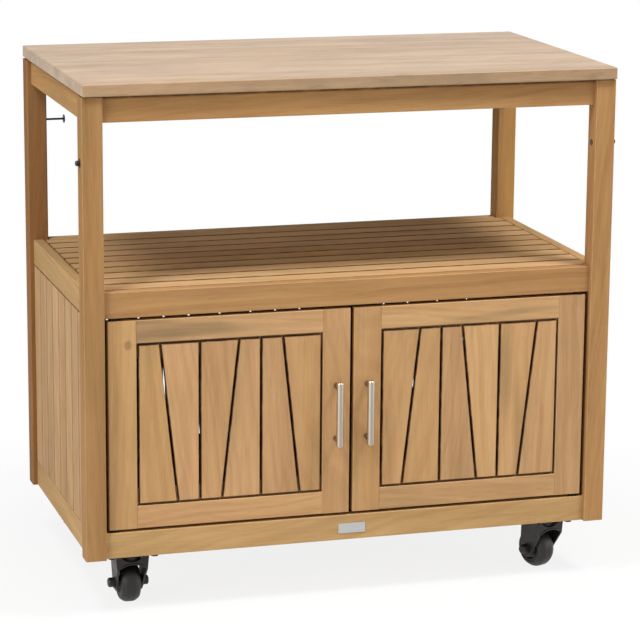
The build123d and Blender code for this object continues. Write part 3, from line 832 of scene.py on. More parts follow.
# A darker copy of the post wood: painted shade for the back-left post, which stands in the worktop's shadow.
SHADED_BACK_POST = WoodFinish("back_post_wood_painted_shade", (155, 110, 69), (132, 90, 54), (132, 101, 68), (172, 134, 90))
# The shelf's joint colour is painted shade in the gaps between the slats.
SHELF = WoodFinish(
    "shelf_wood", (208, 170, 123), (184, 142, 97), (178, 148, 109), (218, 180, 134), roughness=0.62,
    shine=0.04, dirt_and_shade=(110, 74, 44))
# The door wood's joint colour is painted shade in the gaps between the planks.
DOOR = WoodFinish(
    "door_wood", (206, 164, 115), (179, 137, 93), (142, 116, 82), (216, 180, 136), zones=0.95, variety=0.17,
    roughness=0.58, shine=0.08, dirt_and_shade=(56, 26, 14))
# The side walls' joint colour is grime together with painted shade in the grooves between the boards.
SIDE = WoodFinish("side_wood", (206, 168, 124), (180, 141, 101), (168, 141, 108), (214, 176, 130))
PALE = WoodFinish(
    "worktop_wood", (175, 144, 109), (152, 120, 88), (158, 133, 104), (180, 151, 117), bands=0.35, clouds=0.8,
    flecks=0.16, rings=0.25, streaks=0.06, roughness=0.30, shine=0.34)
# The handle bar: bright sides, and a darker reflection painted on its front faces.
BRUSHED = SteelFinish("brushed_steel", (226, 214, 197), 900.0, 0.30, Axis.Z, (170, 163, 152))
# A darker copy of the handle steel: painted shade on the stems.
SHADED_STEM = SteelFinish("stem_steel_painted_shade", (150, 139, 124), 900.0, 0.45, Axis.Y)
PLATE = SteelFinish("plate_steel", (206, 205, 203), 700.0, 0.34, Axis.X)
ZINC = SteelFinish("zinc_steel", (188, 190, 194), 500.0, 0.36, Axis.Z)
# Zinc pins painted dark, as the shade of the door gaps that they sit in.
SHADED_PIN = SteelFinish("pin_steel_painted_shade", (112, 104, 96), 600.0, 0.45, Axis.Z)
BLACK = CoatFinish("black_coat", (27, 23, 21), (74, 67, 62), 0.45, 0.12, 2400.0, 0.10 * MM, 0.40, 0.4)
RUBBER = CoatFinish("wheel_rubber", (29, 25, 21), (66, 59, 52), 0.15, 0.08, 1500.0, 0.06 * MM, 0.40, 0.45)
# Nylon painted dark, as the shade of the door gaps where the bushes and the meeting strips sit.
SHADED_NYLON = CoatFinish("nylon_painted_shade", (34, 28, 23), (60, 52, 44), 0.25, 0.10, 900.0, 0.05 * MM, 0.75, 0.1)


def dress(node: str, material: bpy.types.Material) -> None:
    """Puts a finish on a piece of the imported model.

    Args:
        node: The piece's name.
        material: The finish.
    """
    for slot in frame["nodes"][node].material_slots:
        slot.material = material
    log.info("dressed %s in %s", node, material.name)


def span(node: str, axis: Axis) -> tuple[float, float]:
    """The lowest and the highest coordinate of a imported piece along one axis."""
    low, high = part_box(node)
    return low[axis.value], high[axis.value]


def add_piece(name: str, surface: Surface, material: bpy.types.Material) -> bpy.types.Object:
    """Makes a piece from four-sided faces, and merges points that fall together at a pole.

    Args:
        name: The piece's name.
        surface: One row for each point, and one row of four point numbers for each face.
        material: The finish.

    Returns:
        The piece, at the origin with its place in its mesh.
    """
    points, faces = surface
    mesh = bpy.data.meshes.new(name)
    mesh.vertices.add(len(points))
    mesh.vertices.foreach_set("co", points.astype(np.float32).ravel())
    mesh.loops.add(faces.size)
    mesh.loops.foreach_set("vertex_index", faces.astype(np.int32).ravel())
    mesh.polygons.add(len(faces))
    mesh.polygons.foreach_set("loop_start", np.arange(0, faces.size, 4, dtype=np.int32))
    mesh.polygons.foreach_set("use_smooth", np.ones(len(faces), dtype=bool))
    mesh.update(calc_edges=True)
    work = bmesh.new()
    work.from_mesh(mesh)
    bmesh.ops.remove_doubles(work, verts=work.verts, dist=MERGE)
    work.to_mesh(mesh)
    work.free()
    mesh.validate()
    mesh.materials.append(material)
    piece = bpy.data.objects.new(name, mesh)
    bpy.context.scene.collection.objects.link(piece)
    log.info("made %s, %d faces", name, len(faces))
    return piece


def grid_faces(rings: int, count: int, closed: bool = False) -> np.ndarray:
    """The faces between neighbouring rings of points.

    Args:
        rings: How many rings there are.
        count: Points round each ring.
        closed: Whether the last ring joins the first.

    Returns:
        One row of four point numbers for each face.
    """
    ring, number = np.meshgrid(np.arange(rings if closed else rings - 1), np.arange(count), indexing="ij")
    next_ring, following = (ring + 1) % rings, (number + 1) % count
    corners = [ring * count + number, ring * count + following,
               next_ring * count + following, next_ring * count + number]
    return np.stack(corners, axis=-1).reshape(-1, 4)


def turned_surface(profile: np.ndarray, centre: Vector, axis: Vector, steps: int) -> Surface:
    """A profile turned about an axis.

    A profile point (u, r) at the angle t lies at centre + u axis + r (cos t side + sin t up), where side and
    up are square to the axis. The profile is closed, so the surface is a ring, or a solid where it runs along
    the axis.

    Args:
        profile: Rows of the distance along the axis and from it, anticlockwise with u to the right.
        centre: The middle of the turned piece.
        axis: The axis that it is turned about.
        steps: Steps round the axis.

    Returns:
        The points and the faces.
    """
    along = np.array(axis.normalized())
    side = np.array(axis.orthogonal().normalized())
    up = np.cross(along, side)
    angles = np.linspace(0.0, TURN, steps, endpoint=False)
    spokes = np.cos(angles)[:, None] * side + np.sin(angles)[:, None] * up
    points = np.array(centre) + profile[None, :, :1] * along + profile[None, :, 1:] * spokes[:, None, :]
    return points.reshape(-1, 3), grid_faces(steps, len(profile), closed=True)


def together(surfaces: Sequence[Surface]) -> Surface:
    """Several surfaces as the points and the faces of one.

    Args:
        surfaces: The points and the faces of each.

    Returns:
        All points, and all faces with their point numbers moved on by the points before them.
    """
    starts = np.cumsum([0, *(len(points) for points, _ in surfaces[:-1])])
    faces = [part + start for (_, part), start in zip(surfaces, starts)]
    return np.concatenate([points for points, _ in surfaces]), np.concatenate(faces)


def upright_strip(outline: np.ndarray, low: float, high: float) -> Surface:
    """An outline drawn straight up: the point i at the height h lies at (x_i, y_i, h).

    Args:
        outline: An even number of points round a bulging outline, anticlockwise seen from above.
        low: Height of the foot.
        high: Height of the head.

    Returns:
        The points and the faces, with each end closed by a row of faces across the outline.
    """
    count = len(outline)
    points = np.column_stack([np.tile(outline, (2, 1)), np.repeat([low, high], count)])
    across = np.arange(count // 2 - 1)
    head = np.column_stack([across, across + 1, count - 2 - across, count - 1 - across])
    return points, np.concatenate([grid_faces(2, count), head + count, head[:, ::-1]])


def rounded(points: Sequence[Triple], steps: int = 5) -> np.ndarray:
    """A closed outline with rounded corners.

    Each corner is a parabola from the point one radius before the corner to the point one radius after it.

    Args:
        points: Rows of two coordinates and the corner's radius.
        steps: Points along each round.

    Returns:
        The outline's points in order.
    """
    rows = np.array(points)
    corners, radii = rows[:, :2], rows[:, 2:]
    before = np.roll(corners, 1, axis=0) - corners
    after = np.roll(corners, -1, axis=0) - corners
    start = corners + radii * before / np.linalg.norm(before, axis=1, keepdims=True)
    end = corners + radii * after / np.linalg.norm(after, axis=1, keepdims=True)
    share = np.linspace(0.0, 1.0, steps)[None, :, None]
    curve = (1 - share) ** 2 * start[:, None] + 2 * share * (1 - share) * corners[:, None]
    return (curve + share**2 * end[:, None]).reshape(-1, 2)


@dataclass(frozen=True)
class ScrewHead:
    """A round screw head with a cross slot.

    Attributes:
        radius: Radius of the head.
        height: Height of its middle.
        brim: Height of its rim, as a share of its height.
        slot_half: Half the width of the slot, as a share of the radius.
        slot_reach: How far the slot reaches out, as a share of the radius.
        slot_depth: Depth of the slot, as a share of the height.
        rings: Distances of the rings of points from the middle, as shares of the radius. The last two lie on
            the seat.
        steps: Points round each ring.
    """

    radius: float = 3.6 * MM
    height: float = 1.8 * MM
    brim: float = 0.4
    slot_half: float = 0.16
    slot_reach: float = 0.6
    slot_depth: float = 0.7
    rings: tuple[float, ...] = (0.0, 0.12, 0.20, 0.42, 0.56, 0.66, 0.82, 0.94, 1.0, 1.0, 0.0)
    steps: int = 32

    def surface(self, centres: np.ndarray, facing: float) -> Surface:
        """Heads on their seats.

        At the share s of the radius and the angle t, a head stands height (brim + (1 - brim) sqrt(1 - s^2))
        above its seat, less the slot where one of |s cos t| and |s sin t| is under slot_half and the other
        under slot_reach.

        Args:
            centres: Middles of the seats, one row each.
            facing: 1 where the heads look along +Y, and -1 along -Y.

        Returns:
            The points and the faces.
        """
        angles = np.linspace(0.0, TURN, self.steps, endpoint=False)
        away, turn = np.meshgrid(self.rings, angles, indexing="ij")
        across, up = away * np.cos(turn), away * np.sin(turn)
        narrow = np.minimum(np.abs(across), np.abs(up)) < self.slot_half
        slot = narrow & (np.maximum(np.abs(across), np.abs(up)) < self.slot_reach)
        dome = self.brim + (1.0 - self.brim) * np.sqrt(1.0 - away**2)
        rise = self.height * (dome - self.slot_depth * slot)
        rise[-2:] = 0.0
        shape = np.stack([self.radius * across, facing * rise, facing * self.radius * up], axis=-1)
        faces = grid_faces(*away.shape)
        return together([(centre + shape.reshape(-1, 3), faces) for centre in centres])


@dataclass(frozen=True)
class PlankPanel:
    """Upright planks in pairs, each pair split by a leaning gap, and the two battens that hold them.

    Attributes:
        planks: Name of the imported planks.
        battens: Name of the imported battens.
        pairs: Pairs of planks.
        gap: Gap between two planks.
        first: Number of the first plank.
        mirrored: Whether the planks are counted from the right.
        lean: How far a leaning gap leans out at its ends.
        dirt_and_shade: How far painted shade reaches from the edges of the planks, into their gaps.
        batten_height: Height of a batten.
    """

    planks: str
    battens: str
    pairs: int
    gap: float
    first: float
    mirrored: bool = False
    lean: float = 16.0 * MM
    dirt_and_shade: float = 1.2 * MM
    batten_height: float = 30.0 * MM

    def row(self) -> BoardRow:
        """The planks as a row of boards.

        Returns:
            A row of pairs, from the side that they are counted from.
        """
        left, right = span(self.planks, Axis.X)
        pitch = (right - left + self.gap) / self.pairs
        start, step = (right + self.gap / 2, -pitch) if self.mirrored else (left - self.gap / 2, pitch)
        ends = span(self.planks, Axis.Z)
        return BoardRow(Axis.X, start, step, self.first, self.gap, self.dirt_and_shade, ends, self.lean / pitch)

    def build_screws(self, name: str, facing: float, material: bpy.types.Material) -> bpy.types.Object:
        """Puts a screw through each batten into each plank.

        A pair's cut stands at its middle plus lean (1 - 2 rise), with the sign changing from pair to pair,
        and each plank's middle lies halfway between the cut and the pair's edge.

        Args:
            name: Name of the new piece.
            facing: 1 where the heads look along +Y, and -1 along -Y.
            material: The finish.

        Returns:
            The screws.
        """
        row = self.row()
        foot, head = row.ends
        heights = (np.array(span(self.battens, Axis.Z)) + np.array([1, -1]) * self.batten_height / 2)[:, None]
        number = np.arange(self.pairs)
        edges = row.start + row.pitch * number
        leans = math.copysign(self.lean, row.pitch) * (1 - 2 * (number % 2))
        cuts = edges + row.pitch / 2 + leans * (1 - 2 * (heights - foot) / (head - foot))
        across = np.concatenate([(edges + cuts) / 2, (cuts + edges + row.pitch) / 2], axis=1)
        seat = span(self.battens, Axis.Y)[1 if facing > 0 else 0]
        centres = np.stack(np.broadcast_arrays(across, seat, heights), axis=-1).reshape(-1, 3)
        return add_piece(name, ScrewHead().surface(centres, facing), material)


@dataclass
class Carcass:
    """The fixed woodwork: worktop, posts, rails, shelf, walls and floor.

    Attributes:
        groups: The shared groups.
        slats: Slats of the shelf.
        side_boards: Boards of each side wall.
        floor_boards: Boards of the cupboard floor.
        slat_gap: Gap between two slats.
        joint_dirt_and_shade: How far grime and painted shade reach from the joints of the side walls.
        slat_shade: How far painted shade reaches from the edges of the slats.
        apron_shadow: How far a painted shadow reaches down the aprons from the worktop.
        back: The back wall.
    """

    groups: SharedGroups
    slats: int = 10
    side_boards: int = 8
    floor_boards: int = 6
    slat_gap: float = 8.0 * MM
    joint_dirt_and_shade: float = 3.0 * MM
    slat_shade: float = 1.2 * MM
    apron_shadow: float = 8.0 * MM
    back: PlankPanel = PlankPanel("back_planks", "back_battens", 8, 6.0 * MM, 90.0)

    def _row(self, node: str, count: int, first: float, gap: float = 0.0) -> BoardRow:
        """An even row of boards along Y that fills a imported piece."""
        low, high = span(node, Axis.Y)
        return BoardRow(Axis.Y, low - gap / 2, (high - low + gap) / count, first, gap)

    def _wall(self, node: str, first: float) -> BoardRow:
        """The row of upright boards of a side wall, with grime and painted shade at its joints and ends."""
        row = self._row(node, self.side_boards, first)
        return replace(row, dirt_and_shade=self.joint_dirt_and_shade, ends=span(node, Axis.Z))

    def _apron(self, node: str, number: float) -> BoardRow:
        """One board with a painted shadow along its top, under the worktop.

        Args:
            node: The apron's name.
            number: The board's number.

        Returns:
            A row of that one board, with its other edges too far away to get the painted shadow.
        """
        low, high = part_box(node)
        length = high[0] - low[0] + 2 * FAR
        return BoardRow(
            Axis.X, low[0] - FAR, length, number, dirt_and_shade=self.apron_shadow, ends=(low[2] - FAR, high[2]))

    def _dress(self, node: str, finish: WoodFinish, grain: Axis, boards: Boards) -> None:
        """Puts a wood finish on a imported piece."""
        dress(node, finish.material(self.groups, node, grain, boards))

    def dress(self) -> None:
        """Puts the wood finishes on, each board with a number of its own."""
        self._dress("worktop", PALE, Axis.X, SingleBoard(3.0))
        for number, (corner, finish) in enumerate(zip(CORNERS, (AMBER, HONEY, SHADED_BACK_POST, GOLD))):
            self._dress(f"{corner}_post", finish, Axis.Z, SingleBoard(11.0 + number))
        for number, level in enumerate(("bottom_rail", "shelf_rail", "apron")):
            for place, side in enumerate(("front", "back", *SIDES)):
                node = f"{side}_{level}"
                board = SingleBoard(20.0 + 4 * number + place)
                finish = HONEY if node == "front_shelf_rail" else RAIL
                if level == "apron":
                    board, finish = self._apron(node, board.number), APRON
                self._dress(node, finish, Axis.Y if side in SIDES else Axis.X, board)
        slats = self._row("shelf_slats", self.slats, 40.0, self.slat_gap)
        self._dress("shelf_slats", SHELF, Axis.X, replace(slats, dirt_and_shade=self.slat_shade))
        self._dress("shelf_bearers", HONEY, Axis.Y, SingleBoard(55.0))
        for number, side in enumerate(SIDES):
            node = f"{side}_side_boards"
            self._dress(node, SIDE, Axis.Z, self._wall(node, 60.0 + 10 * number))
        self._dress("floor_boards", HONEY, Axis.X, self._row("floor_boards", self.floor_boards, 80.0))
        self._dress("floor_bearers", HONEY, Axis.Y, SingleBoard(88.0))
        self._dress("back_planks", DOOR, Axis.Z, self.back.row())
        self._dress("back_battens", HONEY, Axis.X, SingleBoard(110.0))

    def build_screws(self) -> None:
        """Screws the planks of the back wall to their battens."""
        screws = self.back.build_screws("back_batten_screws", -1.0, ZINC.material(self.groups))
        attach(screws, "cabinet")


@dataclass
class Door:
    """One door with its handle.

    Attributes:
        groups: The shared groups.
        side: The side that it hangs on.
        first_board: Number of its first board.
        pairs: Pairs of planks in its panel.
        plank_gap: Gap between two planks.
        bar_radius: Radius of the handle's bar.
        bar_half: Half the length of the bar.
        bar_round: Round of the bar's ends.
        bar_steps: Steps round the bar.
        stem_radius: Radius of the handle's two stems.
        stem_lift: How far a stem stands above or below the bar's middle.
        stem_rounds: Rounds of a stem's end and foot.
        stem_steps: Steps round a stem.
        strip_rise: How far the dark strip, which paints the shade of the meeting gap, stands out from the
            meeting edge.
        strip_width: Width of the strip.
        strip_inset: How far the strip stays inside the door's back and ends.
        strip_steps: Steps round the strip.
        knots: The knots in the left door's stiles.
    """

    groups: SharedGroups
    side: str
    first_board: float
    pairs: int = 3
    plank_gap: float = 4.5 * MM
    bar_radius: float = 6.6 * MM
    bar_half: float = 61.0 * MM
    bar_round: float = 3.0 * MM
    bar_steps: int = 48
    stem_radius: float = 5.5 * MM
    stem_lift: float = 50.0 * MM
    stem_rounds: tuple[float, float] = (0.2 * MM, 0.4 * MM)
    stem_steps: int = 40
    strip_rise: float = 2.7 * MM
    strip_width: float = 5.0 * MM
    strip_inset: float = 1.0 * MM
    strip_steps: int = 16
    knots: tuple[Knot, ...] = (Knot((-0.4185, -0.258, 0.503), (6.0 * MM, 0.02, 8.0 * MM)),)

    @property
    def panel(self) -> PlankPanel:
        """The door's planks and battens, counted from the hinges."""
        names = f"{self.side}_door_planks", f"{self.side}_door_battens"
        return PlankPanel(*names, self.pairs, self.plank_gap, self.first_board, self.side == "right")

    def build_handle(self) -> None:
        """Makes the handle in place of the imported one: a turned bar on two turned stems."""
        low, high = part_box(f"{self.side}_handle")
        middle_x, middle_z = (low[0] + high[0]) / 2, (low[2] + high[2]) / 2
        door_face, bar_y = high[1], low[1] + self.bar_radius
        bar = rounded([
            (-self.bar_half, 0.0, 0.0), (self.bar_half, 0.0, 0.0),
            (self.bar_half, self.bar_radius, self.bar_round),
            (-self.bar_half, self.bar_radius, self.bar_round),
        ])
        surface = turned_surface(bar, Vector((middle_x, bar_y, middle_z)), UP, self.bar_steps)
        handle = add_piece(f"{self.side}_handle_bar", surface, BRUSHED.material(self.groups))
        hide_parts(f"{self.side}_handle")
        reach = door_face - bar_y
        end_round, foot_round = self.stem_rounds
        stem = rounded([
            (0.0, 0.0, 0.0), (reach, 0.0, 0.0), (reach, self.stem_radius, end_round),
            (0.0, self.stem_radius, foot_round),
        ])
        feet = [Vector((middle_x, door_face, middle_z + lift)) for lift in (-self.stem_lift, self.stem_lift)]
        surface = together([turned_surface(stem, foot, FORWARD, self.stem_steps) for foot in feet])
        stems = add_piece(f"{self.side}_handle_stems", surface, SHADED_STEM.material(self.groups))
        for piece in (handle, stems):
            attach(piece, f"{self.side}_door")

    def build_meeting_strip(self) -> None:
        """Puts a dark strip on the back edge of the stile that meets the other door, as painted shade in the
        meeting gap.

        At the angle t its outline stands strip_rise sqrt(|cos t|) out from the edge, with the sign of cos t,
        and strip_width / 2 sin t from its middle.
        """
        low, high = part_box(f"{self.side}_door_stiles")
        edge = high[0] if self.side == "left" else low[0]
        middle = high[1] - self.strip_width / 2 - self.strip_inset
        turn = np.linspace(0.0, TURN, self.strip_steps, endpoint=False) + np.pi / self.strip_steps
        bulge = np.sign(np.cos(turn)) * np.sqrt(np.abs(np.cos(turn)))
        outline = np.column_stack(
            [edge + self.strip_rise * bulge, middle + self.strip_width / 2 * np.sin(turn)])
        surface = upright_strip(outline, low[2] + self.strip_inset, high[2] - self.strip_inset)
        # The dark strip stands in for the shade of the meeting gap.
        strip = add_piece(f"{self.side}_meeting_strip", surface, SHADED_NYLON.material(self.groups))
        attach(strip, f"{self.side}_door")

    def build_screws(self) -> None:
        """Screws the planks to their battens."""
        screws = self.panel.build_screws(f"{self.side}_batten_screws", 1.0, ZINC.material(self.groups))
        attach(screws, f"{self.side}_door")

    def dress(self) -> None:
        """Puts the wood finishes on."""
        planks = f"{self.side}_door_planks"
        dress(planks, DOOR.material(self.groups, planks, Axis.Z, self.panel.row()))
        for piece, axis, grain, number in (
            ("stiles", Axis.X, Axis.Z, 8), ("rails", Axis.Z, Axis.X, 10), ("battens", Axis.Z, Axis.X, 12),
        ):
            node = f"{self.side}_door_{piece}"
            start, end = span(node, axis)
            row = BoardRow(axis, start, (end - start) / 2, self.first_board + number)
            knots = self.knots if node == "left_door_stiles" else ()
            dress(node, DOOR.material(self.groups, node, grain, row, knots))


@dataclass
class Caster:
    """One swivel caster.

    Attributes:
        groups: The shared groups.
        corner: The corner that it stands at.
        straight: A wheel whose axle lies along X, which the length of every hub is taken from.
        tread_half: Half the width of the wheel.
        tread_flat: How far the flat of the tread reaches, as a share of that half.
        tread_round: Round of the flat's edge.
        flank: Rows that lead down the wheel's side: distance inside its edge, below its rim, and the round.
        hub_radius: Radius of the hub.
        hub_foot: How far the hub's foot stands out, and its round.
        hub_edge: How far the hub's edge stands in, and its round.
        bore_radius: Radius of the hole for the axle.
        bore_round: Round of the hole's edge.
        wheel_steps: Steps round the wheel.
        crown_gauge: Thickness of the fork's crown.
        bowl_radius: Radius of the bearing bowl under the crown.
        bowl_depth: Depth of the bowl.
        bowl_wall: Thickness of the bowl.
        bowl_rounds: Rounds of the bowl's inside, rim and outside.
        bowl_steps: Steps round the bowl.
        web_front: How far the fork's front web stands before the swivel axis.
        arch_radius: Radius of the arch in the web.
        arch_drop: How far the arch's crest lies below the fork's top.
        arch_half: Half the width of the arch at its foot.
        lip_radius: Radius of the rolled lip along the arch.
        lip_steps: Points along the lip and round it.
    """

    groups: SharedGroups
    corner: str
    straight: str = "back_left_wheel"
    tread_half: float = 18.5 * MM
    tread_flat: float = 0.45
    tread_round: float = 3.5 * MM
    flank: tuple[Triple, ...] = (
        (0.0, 6.5 * MM, 4.5 * MM), (0.0, 11.0 * MM, 0.8 * MM), (1.4 * MM, 11.6 * MM, 0.4 * MM),
        (1.4 * MM, 13.0 * MM, 0.4 * MM), (0.4 * MM, 13.6 * MM, 0.5 * MM), (1.0 * MM, 15.5 * MM, 0.6 * MM),
        (5.0 * MM, 18.0 * MM, 1.5 * MM))
    hub_radius: float = 11.5 * MM
    hub_foot: tuple[float, float] = (1.5 * MM, 1.2 * MM)
    hub_edge: tuple[float, float] = (1.0 * MM, 0.8 * MM)
    bore_radius: float = 4.05 * MM
    bore_round: float = 0.2 * MM
    wheel_steps: int = 96
    crown_gauge: float = 3.0 * MM
    bowl_radius: float = 21.4 * MM
    bowl_depth: float = 15.0 * MM
    bowl_wall: float = 1.5 * MM
    bowl_rounds: Triple = (4.0 * MM, 0.1 * MM, 5.5 * MM)
    bowl_steps: int = 64
    web_front: float = 25.0 * MM
    arch_radius: float = 41.0 * MM
    arch_drop: float = 15.0 * MM
    arch_half: float = 27.0 * MM
    lip_radius: float = 1.7 * MM
    lip_steps: tuple[int, int] = (41, 16)

    def _joint(self, name: str) -> dict:
        """One of the caster's two joints."""
        return next(joint for joint in frame["joints"] if joint["name"] == f"{self.corner}_{name}")

    def _wheel_profile(self, rim: float, hub_half: float) -> np.ndarray:
        """Half sections of the tyre, web and hub, joined to one closed outline.

        Args:
            rim: Radius in the middle of the tread.
            hub_half: Half the length of the hub.

        Returns:
            Rows of the distance along the axle and the distance from it.
        """
        half = self.tread_half
        flank = [(half - inside, rim - below, radius) for inside, below, radius in self.flank]
        (foot_out, foot_round), (edge_in, edge_round) = self.hub_foot, self.hub_edge
        right = np.array([
            (self.tread_flat * half, rim, self.tread_round), *flank,
            (flank[-1][0], self.hub_radius + foot_out, foot_round),
            (hub_half, self.hub_radius - edge_in, edge_round),
            (hub_half, self.bore_radius, self.bore_round),
        ])
        left = right[::-1] * (-1.0, 1.0, 1.0)
        return rounded(np.concatenate([right, left])[::-1])

    def build_wheel(self) -> None:
        """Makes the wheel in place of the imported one."""
        joint = self._joint("wheel_spin")
        ground, top = span(f"{self.corner}_wheel", Axis.Z)
        left, right = span(self.straight, Axis.X)
        profile = self._wheel_profile((top - ground) / 2, (right - left) / 2)
        surface = turned_surface(profile, Vector(joint["pos_m"]), Vector(joint["axis"]), self.wheel_steps)
        wheel = add_piece(f"{self.corner}_tyre", surface, RUBBER.material(self.groups))
        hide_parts(f"{self.corner}_wheel")
        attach(wheel, f"{self.corner}_roller")

    def build_bowl(self) -> None:
        """Makes the bearing bowl that hangs under the fork's crown."""
        crown_low = span(f"{self.corner}_fork", Axis.Z)[1] - self.crown_gauge
        deep, wide, wall = self.bowl_depth, self.bowl_radius, self.bowl_wall
        inside, edge, outside = self.bowl_rounds
        profile = rounded([
            (-deep, 0.0, 0.0), (wall - deep, 0.0, 0.0), (wall - deep, wide - 2 * wall, inside),
            (0.0, wide - wall, edge), (0.0, wide, edge), (-deep, wide - wall, outside),
        ])
        centre = Vector((*self._joint("swivel")["pos_m"][:2], crown_low))
        surface = turned_surface(profile, centre, UP, self.bowl_steps)
        bowl = add_piece(f"{self.corner}_bearing_bowl", surface, BLACK.material(self.groups))
        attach(bowl, f"{self.corner}_swivel")

    def build_lip(self) -> None:
        """Makes the rolled lip along the arch in the fork's front web.

        At the angle a from the arch's crest and the angle t round the lip, a point lies at R + q cos t from
        the arch's middle and q sin t before the web's front face, with R the arch's radius. The lip's radius
        q falls to nothing at both feet: q = lip_radius sqrt(1 - (a / foot)^8).
        """
        across = np.array(self._joint("wheel_spin")["axis"])
        axes = np.array([across, np.cross(UP, across), UP])
        crest = span(f"{self.corner}_fork", Axis.Z)[1] - self.arch_drop
        foot = math.asin(self.arch_half / self.arch_radius)
        length, count = self.lip_steps
        sweep, turn = np.meshgrid(
            np.linspace(-foot, foot, length), np.linspace(0.0, TURN, count, endpoint=False), indexing="ij")
        thick = self.lip_radius * np.sqrt(1.0 - (sweep / foot) ** 8)
        away = self.arch_radius + thick * np.cos(turn)
        back = -thick * np.sin(turn) - self.web_front
        height = crest - self.arch_radius + away * np.cos(sweep)
        local = np.stack([away * np.sin(sweep), back, height], axis=-1).reshape(-1, 3)
        points = local @ axes + np.array([*self._joint("swivel")["pos_m"][:2], 0.0])
        surface = points, grid_faces(length, count)
        lip = add_piece(f"{self.corner}_fork_lip", surface, BLACK.material(self.groups))
        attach(lip, f"{self.corner}_swivel")

    def dress(self) -> None:
        """Puts the black coat on the fork and the axle."""
        coat = BLACK.material(self.groups)
        dress(f"{self.corner}_fork", coat)
        dress(f"{self.corner}_axle", coat)


@dataclass
class Hardware:
    """The pins, plates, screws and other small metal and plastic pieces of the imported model.

    Attributes:
        groups: The shared groups.
    """

    groups: SharedGroups

    def dress(self) -> None:
        """Puts the finishes on."""
        for finish, nodes in (
            (SHADED_PIN, [f"{side}_hinge_pins" for side in SIDES]),
            (ZINC, [f"{side}_{piece}" for side in SIDES for piece in ("handle_screws", "strike_plate")]),
            (PLATE, ["rail_plate"]),
            (BLACK, ["utensil_peg", "post_bolts", "caster_plates", "caster_bolts"]),
            (SHADED_NYLON, ["pivot_bushes", "magnetic_catch"]),
        ):
            material = finish.material(self.groups)
            for node in nodes:
                dress(node, material)


def place_in_scene(name: str, data: bpy.types.ID, place: Triple, turn: Quaternion) -> bpy.types.Object:
    """Adds a lamp or a camera to the scene.

    Args:
        name: Its name.
        data: The lamp or the camera itself.
        place: Where it stands.
        turn: How it is turned.

    Returns:
        The new object.
    """
    thing = bpy.data.objects.new(name, data)
    thing.location = place
    thing.rotation_mode = "QUATERNION"
    thing.rotation_quaternion = turn
    bpy.context.scene.collection.objects.link(thing)
    return thing


@dataclass(frozen=True)
class Lamp:
    """A soft box.

    Attributes:
        name: The lamp's name.
        place: Where it stands.
        aim: What it points at.
        width: Width of the box.
        height: Height of the box.
        power: Power in watts.
    """

    name: str
    place: Triple
    aim: Triple
    width: float
    height: float
    power: float

    def build(self) -> None:
        """Adds the lamp to the scene."""
        data = bpy.data.lights.new(self.name, "AREA")
        data.shape = "RECTANGLE"
        data.size = self.width
        data.size_y = self.height
        data.energy = self.power
        turn = (Vector(self.aim) - Vector(self.place)).to_track_quat("-Z", "Y")
        place_in_scene(self.name, data, self.place, turn)


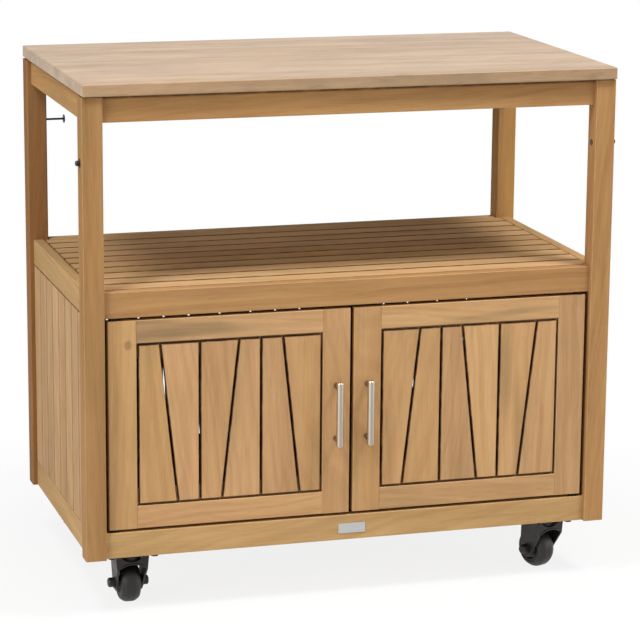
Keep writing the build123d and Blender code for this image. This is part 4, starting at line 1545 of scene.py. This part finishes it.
@dataclass
class Studio:
    """Floor, lamps, white surroundings and the camera.

    Attributes:
        camera_place: Where the camera stands.
        yaw: How far it looks to the right of +Y, in degrees.
        pitch: How far it looks down, in degrees.
        roll: How far it is turned about its line of sight, in degrees.
        lens: Focal length in millimetres.
        sensor: Width of the camera's picture in millimetres.
        floor_half: Half the width of the floor.
        floor_grey: How much light the floor throws back.
        floor_shadow: How much of the floor's shading the camera sees.
        shadow_reach: How far from the middle the camera sees it.
        shadow_full: How far it sees all of that, as a share of the reach.
        ambient: Light from all round.
        lamps: The soft boxes.
    """

    camera_place: Triple = (-1.445, -4.865, 1.634)
    yaw: float = 16.71
    pitch: float = 12.94
    roll: float = 0.46
    lens: float = 153.0
    sensor: float = 36.0
    floor_half: float = 30.0
    floor_grey: float = 0.9
    floor_shadow: float = 0.15
    shadow_reach: float = 1.2
    shadow_full: float = 0.4
    ambient: float = 0.15
    lamps: tuple[Lamp, ...] = (
        Lamp("high_left_lamp", (-1.6, -1.15, 3.2), (0.0, 0.0, 0.6), 0.6, 0.9, 45.0),
        Lamp("high_right_lamp", (1.2, -1.15, 3.2), (0.0, 0.0, 0.6), 0.6, 0.9, 56.0),
        Lamp("over_lamp", (0.0, -0.9, 3.0), (0.0, -0.9, 0.0), 3.4, 2.8, 14.0),
        Lamp("left_lamp", (-3.4, -1.6, 1.7), (0.0, 0.0, 0.5), 1.8, 1.8, 50.0),
        Lamp("right_lamp", (3.4, -1.0, 1.5), (0.0, 0.0, 0.6), 1.6, 1.6, 13.0),
        Lamp("low_right_lamp", (3.2, -2.2, 0.9), (0.0, 0.0, 0.6), 1.6, 1.4, 15.0),
    )

    def _seen_directly(self, sheet: Sheet) -> Socket:
        """Finds which rays see a surface itself.

        Args:
            sheet: The nodes of the floor or of the surroundings.

        Returns:
            1 for rays from the camera, from a reflection or through glass, and 0 for light on the object.
        """
        path = sheet.add("ShaderNodeLightPath").outputs
        mirrored = sheet.most(path["Is Glossy Ray"], path["Is Transmission Ray"])
        return sheet.most(path["Is Camera Ray"], mirrored)

    def build_floor(self) -> None:
        """Lays a white floor that keeps a faint shadow."""
        corners = np.array([(-1.0, -1.0, 0.0), (1.0, -1.0, 0.0), (1.0, 1.0, 0.0), (-1.0, 1.0, 0.0)])
        skin = Skin("white_floor")
        skin.tree.nodes.clear()
        matt = skin.add("ShaderNodeBsdfDiffuse", {"Color": (*[self.floor_grey] * 3, 1.0)})
        bright = skin.add("ShaderNodeEmission", {"Color": WHITE, "Strength": 1.0})
        full = self.shadow_full * self.shadow_reach
        shaded = skin.spread(skin.length(skin.place()), self.shadow_reach, full, 0.0, self.floor_shadow)
        share = skin.times(self._seen_directly(skin), skin.minus(1.0, shaded))
        mixed = skin.add("ShaderNodeMixShader", {0: share, 1: matt.outputs[0], 2: bright.outputs[0]})
        skin.add("ShaderNodeOutputMaterial", {"Surface": mixed.outputs[0]})
        surface = self.floor_half * corners, np.array([[0, 1, 2, 3]])
        add_piece("floor", surface, skin.material)

    def build_surroundings(self) -> None:
        """Sets a white world that lights the object only softly."""
        world = bpy.data.worlds.new("white_studio")
        world.use_nodes = True
        sheet = Sheet(world.node_tree)
        sheet.tree.nodes.clear()
        seen = self._seen_directly(sheet)
        strength = sheet.add("ShaderNodeMapRange", {0: seen, 3: self.ambient, 4: 1.0}).outputs[0]
        back = sheet.add("ShaderNodeBackground", {"Color": WHITE, "Strength": strength})
        sheet.add("ShaderNodeOutputWorld", {"Surface": back.outputs[0]})
        bpy.context.scene.world = world

    def build_camera(self) -> None:
        """Sets up the camera at the photograph's viewing angle."""
        data = bpy.data.cameras.new("camera")
        data.sensor_width = self.sensor
        data.lens = self.lens
        yaw, pitch, roll = map(math.radians, (self.yaw, self.pitch, self.roll))
        facing = Euler((math.pi / 2 - pitch, 0.0, -yaw)).to_quaternion()
        turn = facing @ Quaternion((0.0, 0.0, 1.0), roll)
        bpy.context.scene.camera = place_in_scene("camera", data, self.camera_place, turn)

    def build(self) -> None:
        """Sets up everything round the cabinet."""
        self.build_floor()
        self.build_surroundings()
        for lamp in self.lamps:
            lamp.build()
        self.build_camera()
        bpy.context.scene.view_settings.view_transform = "Standard"


def main() -> None:
    """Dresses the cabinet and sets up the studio."""
    logging.basicConfig(level=logging.INFO, format="%(name)s: %(message)s")
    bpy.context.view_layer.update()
    groups = SharedGroups()
    carcass = Carcass(groups)
    carcass.dress()
    carcass.build_screws()
    for number, side in enumerate(SIDES):
        door = Door(groups, side, 120.0 + 20 * number)
        door.build_handle()
        door.build_screws()
        door.build_meeting_strip()
        door.dress()
    for corner in CORNERS:
        caster = Caster(groups, corner)
        caster.build_wheel()
        caster.build_bowl()
        caster.build_lip()
        caster.dress()
    Hardware(groups).dress()
    Studio().build()


if __name__ == "__main__":
    main()
